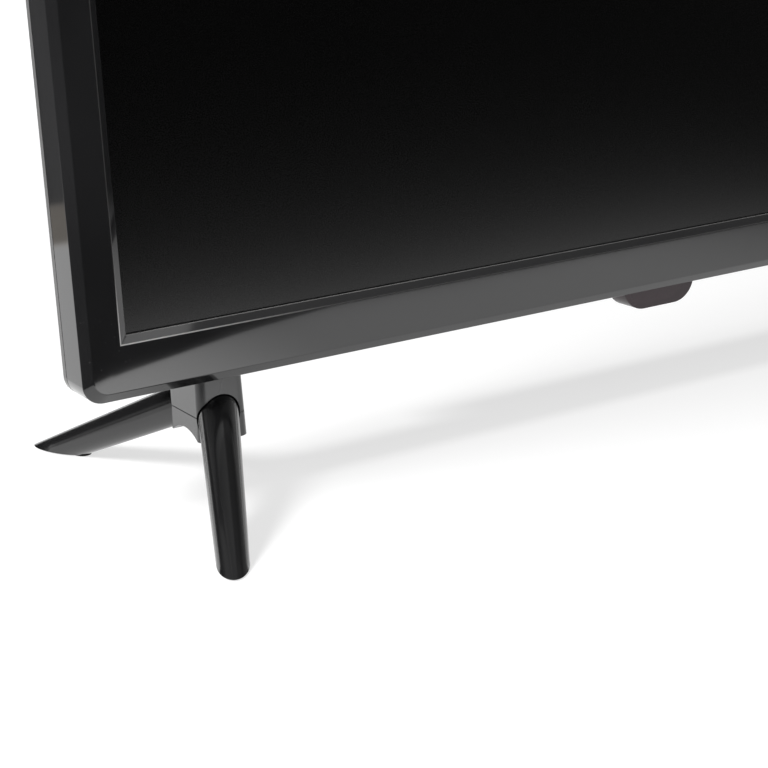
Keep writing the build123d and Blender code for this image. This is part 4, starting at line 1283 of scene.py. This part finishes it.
@dataclass
class Studio:
    """The pale floor and the plain surroundings, which gloss sees in their own way.

    The ranges are of the direction's X, Y or Z: overhead light comes in by overhead_range, the
    bright wall behind the set lies within back_range and below wall_range, and the bright side on
    the right starts within right_range.
    """

    sheet: PaperSheet
    floor_radius: float = 14.0
    floor_segments: int = 64
    floor_angle: float = 30.0
    floor_colour: Colour = (0.43, 0.43, 0.43)
    floor_glow: float = 0.668
    far_glow: float = 1.0
    far_range: Range = (0.55, 1.6)
    bounce_glow: float = 0.3
    surround: float = 0.2
    horizon: float = 0.02
    overhead: float = 0.25
    overhead_range: Range = (0.35, 0.75)
    backdrop: float = 1.1
    back_range: Range = (0.4, 0.9)
    wall_range: Range = (0.08, 0.2)
    right_window: float = 0.7
    right_range: Range = (0.72, 0.92)

    def seen(self, board: NodeBoard, rays: bpy.types.Node) -> Socket:
        """Tell the rays that come straight from the camera, or through clear plastic."""
        direct = rays.outputs[Ray.CAMERA.value]
        return board.math("MAXIMUM", direct, rays.outputs[Ray.TRANSMISSION.value])

    def floor_material(self) -> bpy.types.Material:
        """Make the floor's material, which keeps the object's shadow and turns white far away.

        Returns:
            The material.
        """
        material = bpy.data.materials.new("pale_floor")
        material.use_nodes = True
        board = NodeBoard(material.node_tree)
        material.node_tree.nodes.clear()
        rays = board.add("ShaderNodeLightPath")
        seen = self.seen(board, rays)
        away = board.add("ShaderNodeVectorMath", {0: board.place()}, operation="LENGTH")
        far = board.ramp(away.outputs["Value"], *self.far_range, self.floor_glow, self.far_glow)
        direct = board.math("MULTIPLY", seen, far)
        strength, colour = self.sheet.strength(board)
        mirrored = board.math("MULTIPLY", rays.outputs[Ray.GLOSSY.value], strength)
        tint = board.blend(rays.outputs[Ray.GLOSSY.value], (1.0, 1.0, 1.0), colour)
        bounced = board.math("MULTIPLY", rays.outputs[Ray.DIFFUSE.value], self.bounce_glow)
        glow = board.math("ADD", board.math("ADD", direct, mirrored), bounced)
        not_glossy = board.math("SUBTRACT", 1.0, rays.outputs[Ray.GLOSSY.value])
        white = board.add("ShaderNodeEmission", {"Color": tint, "Strength": glow})
        shade = board.blend(not_glossy, (0.0, 0.0, 0.0), self.floor_colour)
        paper = board.add("ShaderNodeBsdfDiffuse", {"Color": shade})
        both = board.add("ShaderNodeAddShader", {0: paper.outputs[0], 1: white.outputs[0]})
        board.add("ShaderNodeOutputMaterial", {"Surface": both.outputs[0]})
        return material

    def build_floor(self) -> bpy.types.Object:
        """Make the floor.

        Returns:
            The floor object.
        """
        mesh = bmesh.new()
        bmesh.ops.create_circle(
            mesh, cap_ends=True, segments=self.floor_segments, radius=self.floor_radius
        )
        floor = add_piece("floor", mesh, self.floor_material(), self.floor_angle)
        return floor

    def build_surround(self) -> None:
        """Make the even light that comes from all round, white to the camera."""
        world = bpy.data.worlds.new("surround")
        bpy.context.scene.world = world
        world.use_nodes = True
        world.node_tree.nodes.clear()
        board = NodeBoard(world.node_tree)
        rays = board.add("ShaderNodeLightPath")
        seen = self.seen(board, rays)
        mirrored = rays.outputs[Ray.GLOSSY.value]
        direction = board.add("ShaderNodeTexCoord").outputs["Generated"]
        parts = board.add("ShaderNodeSeparateXYZ", {"Vector": direction})
        x, y, z = (parts.outputs[axis] for axis in "XYZ")
        above = board.ramp(z, *self.overhead_range, self.horizon, self.overhead)
        low = board.ramp(z, *self.wall_range, self.backdrop, 0.0)
        behind = board.math("MULTIPLY", board.ramp(y, *self.back_range, 0.0, 1.0), low)
        beside = board.ramp(x, *self.right_range, 0.0, self.right_window)
        brightest = board.math("MAXIMUM", board.math("MAXIMUM", above, behind), beside)
        shown = board.math("MULTIPLY", brightest, mirrored)
        hidden = board.ramp(mirrored, 0.0, 1.0, self.surround, 0.0)
        around = board.math("ADD", shown, hidden)
        strength = board.math("MAXIMUM", around, seen)
        white = (1.0, 1.0, 1.0, 1.0)
        light = board.add("ShaderNodeBackground", {"Color": white, "Strength": strength})
        board.add("ShaderNodeOutputWorld", {"Surface": light.outputs[0]})

    def build(self) -> None:
        """Make the whole stage."""
        self.build_floor()
        self.build_surround()
        for lamp in SOFT_LAMPS:
            lamp.build()


MADE_ONCE = (FrontFrame, CrossScrews, RearCase, Panel, Boards, Sockets, Speakers, Controls)


def main() -> None:
    """Build the scene in order."""
    scene = bpy.context.scene
    scene.view_settings.view_transform = "Standard"
    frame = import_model()
    all_finishes = [*case_finishes(), *inner_finishes()]
    finishes = {finish.slot: finish.build() for finish in all_finishes}
    for sub_assembly in MADE_ONCE:
        sub_assembly(frame, finishes).build()
    for side in Side:
        Stand(frame, finishes, side=side).build()
    Studio(PaperSheet()).build()
    Viewpoint().build()


if __name__ == "__main__":
    main()
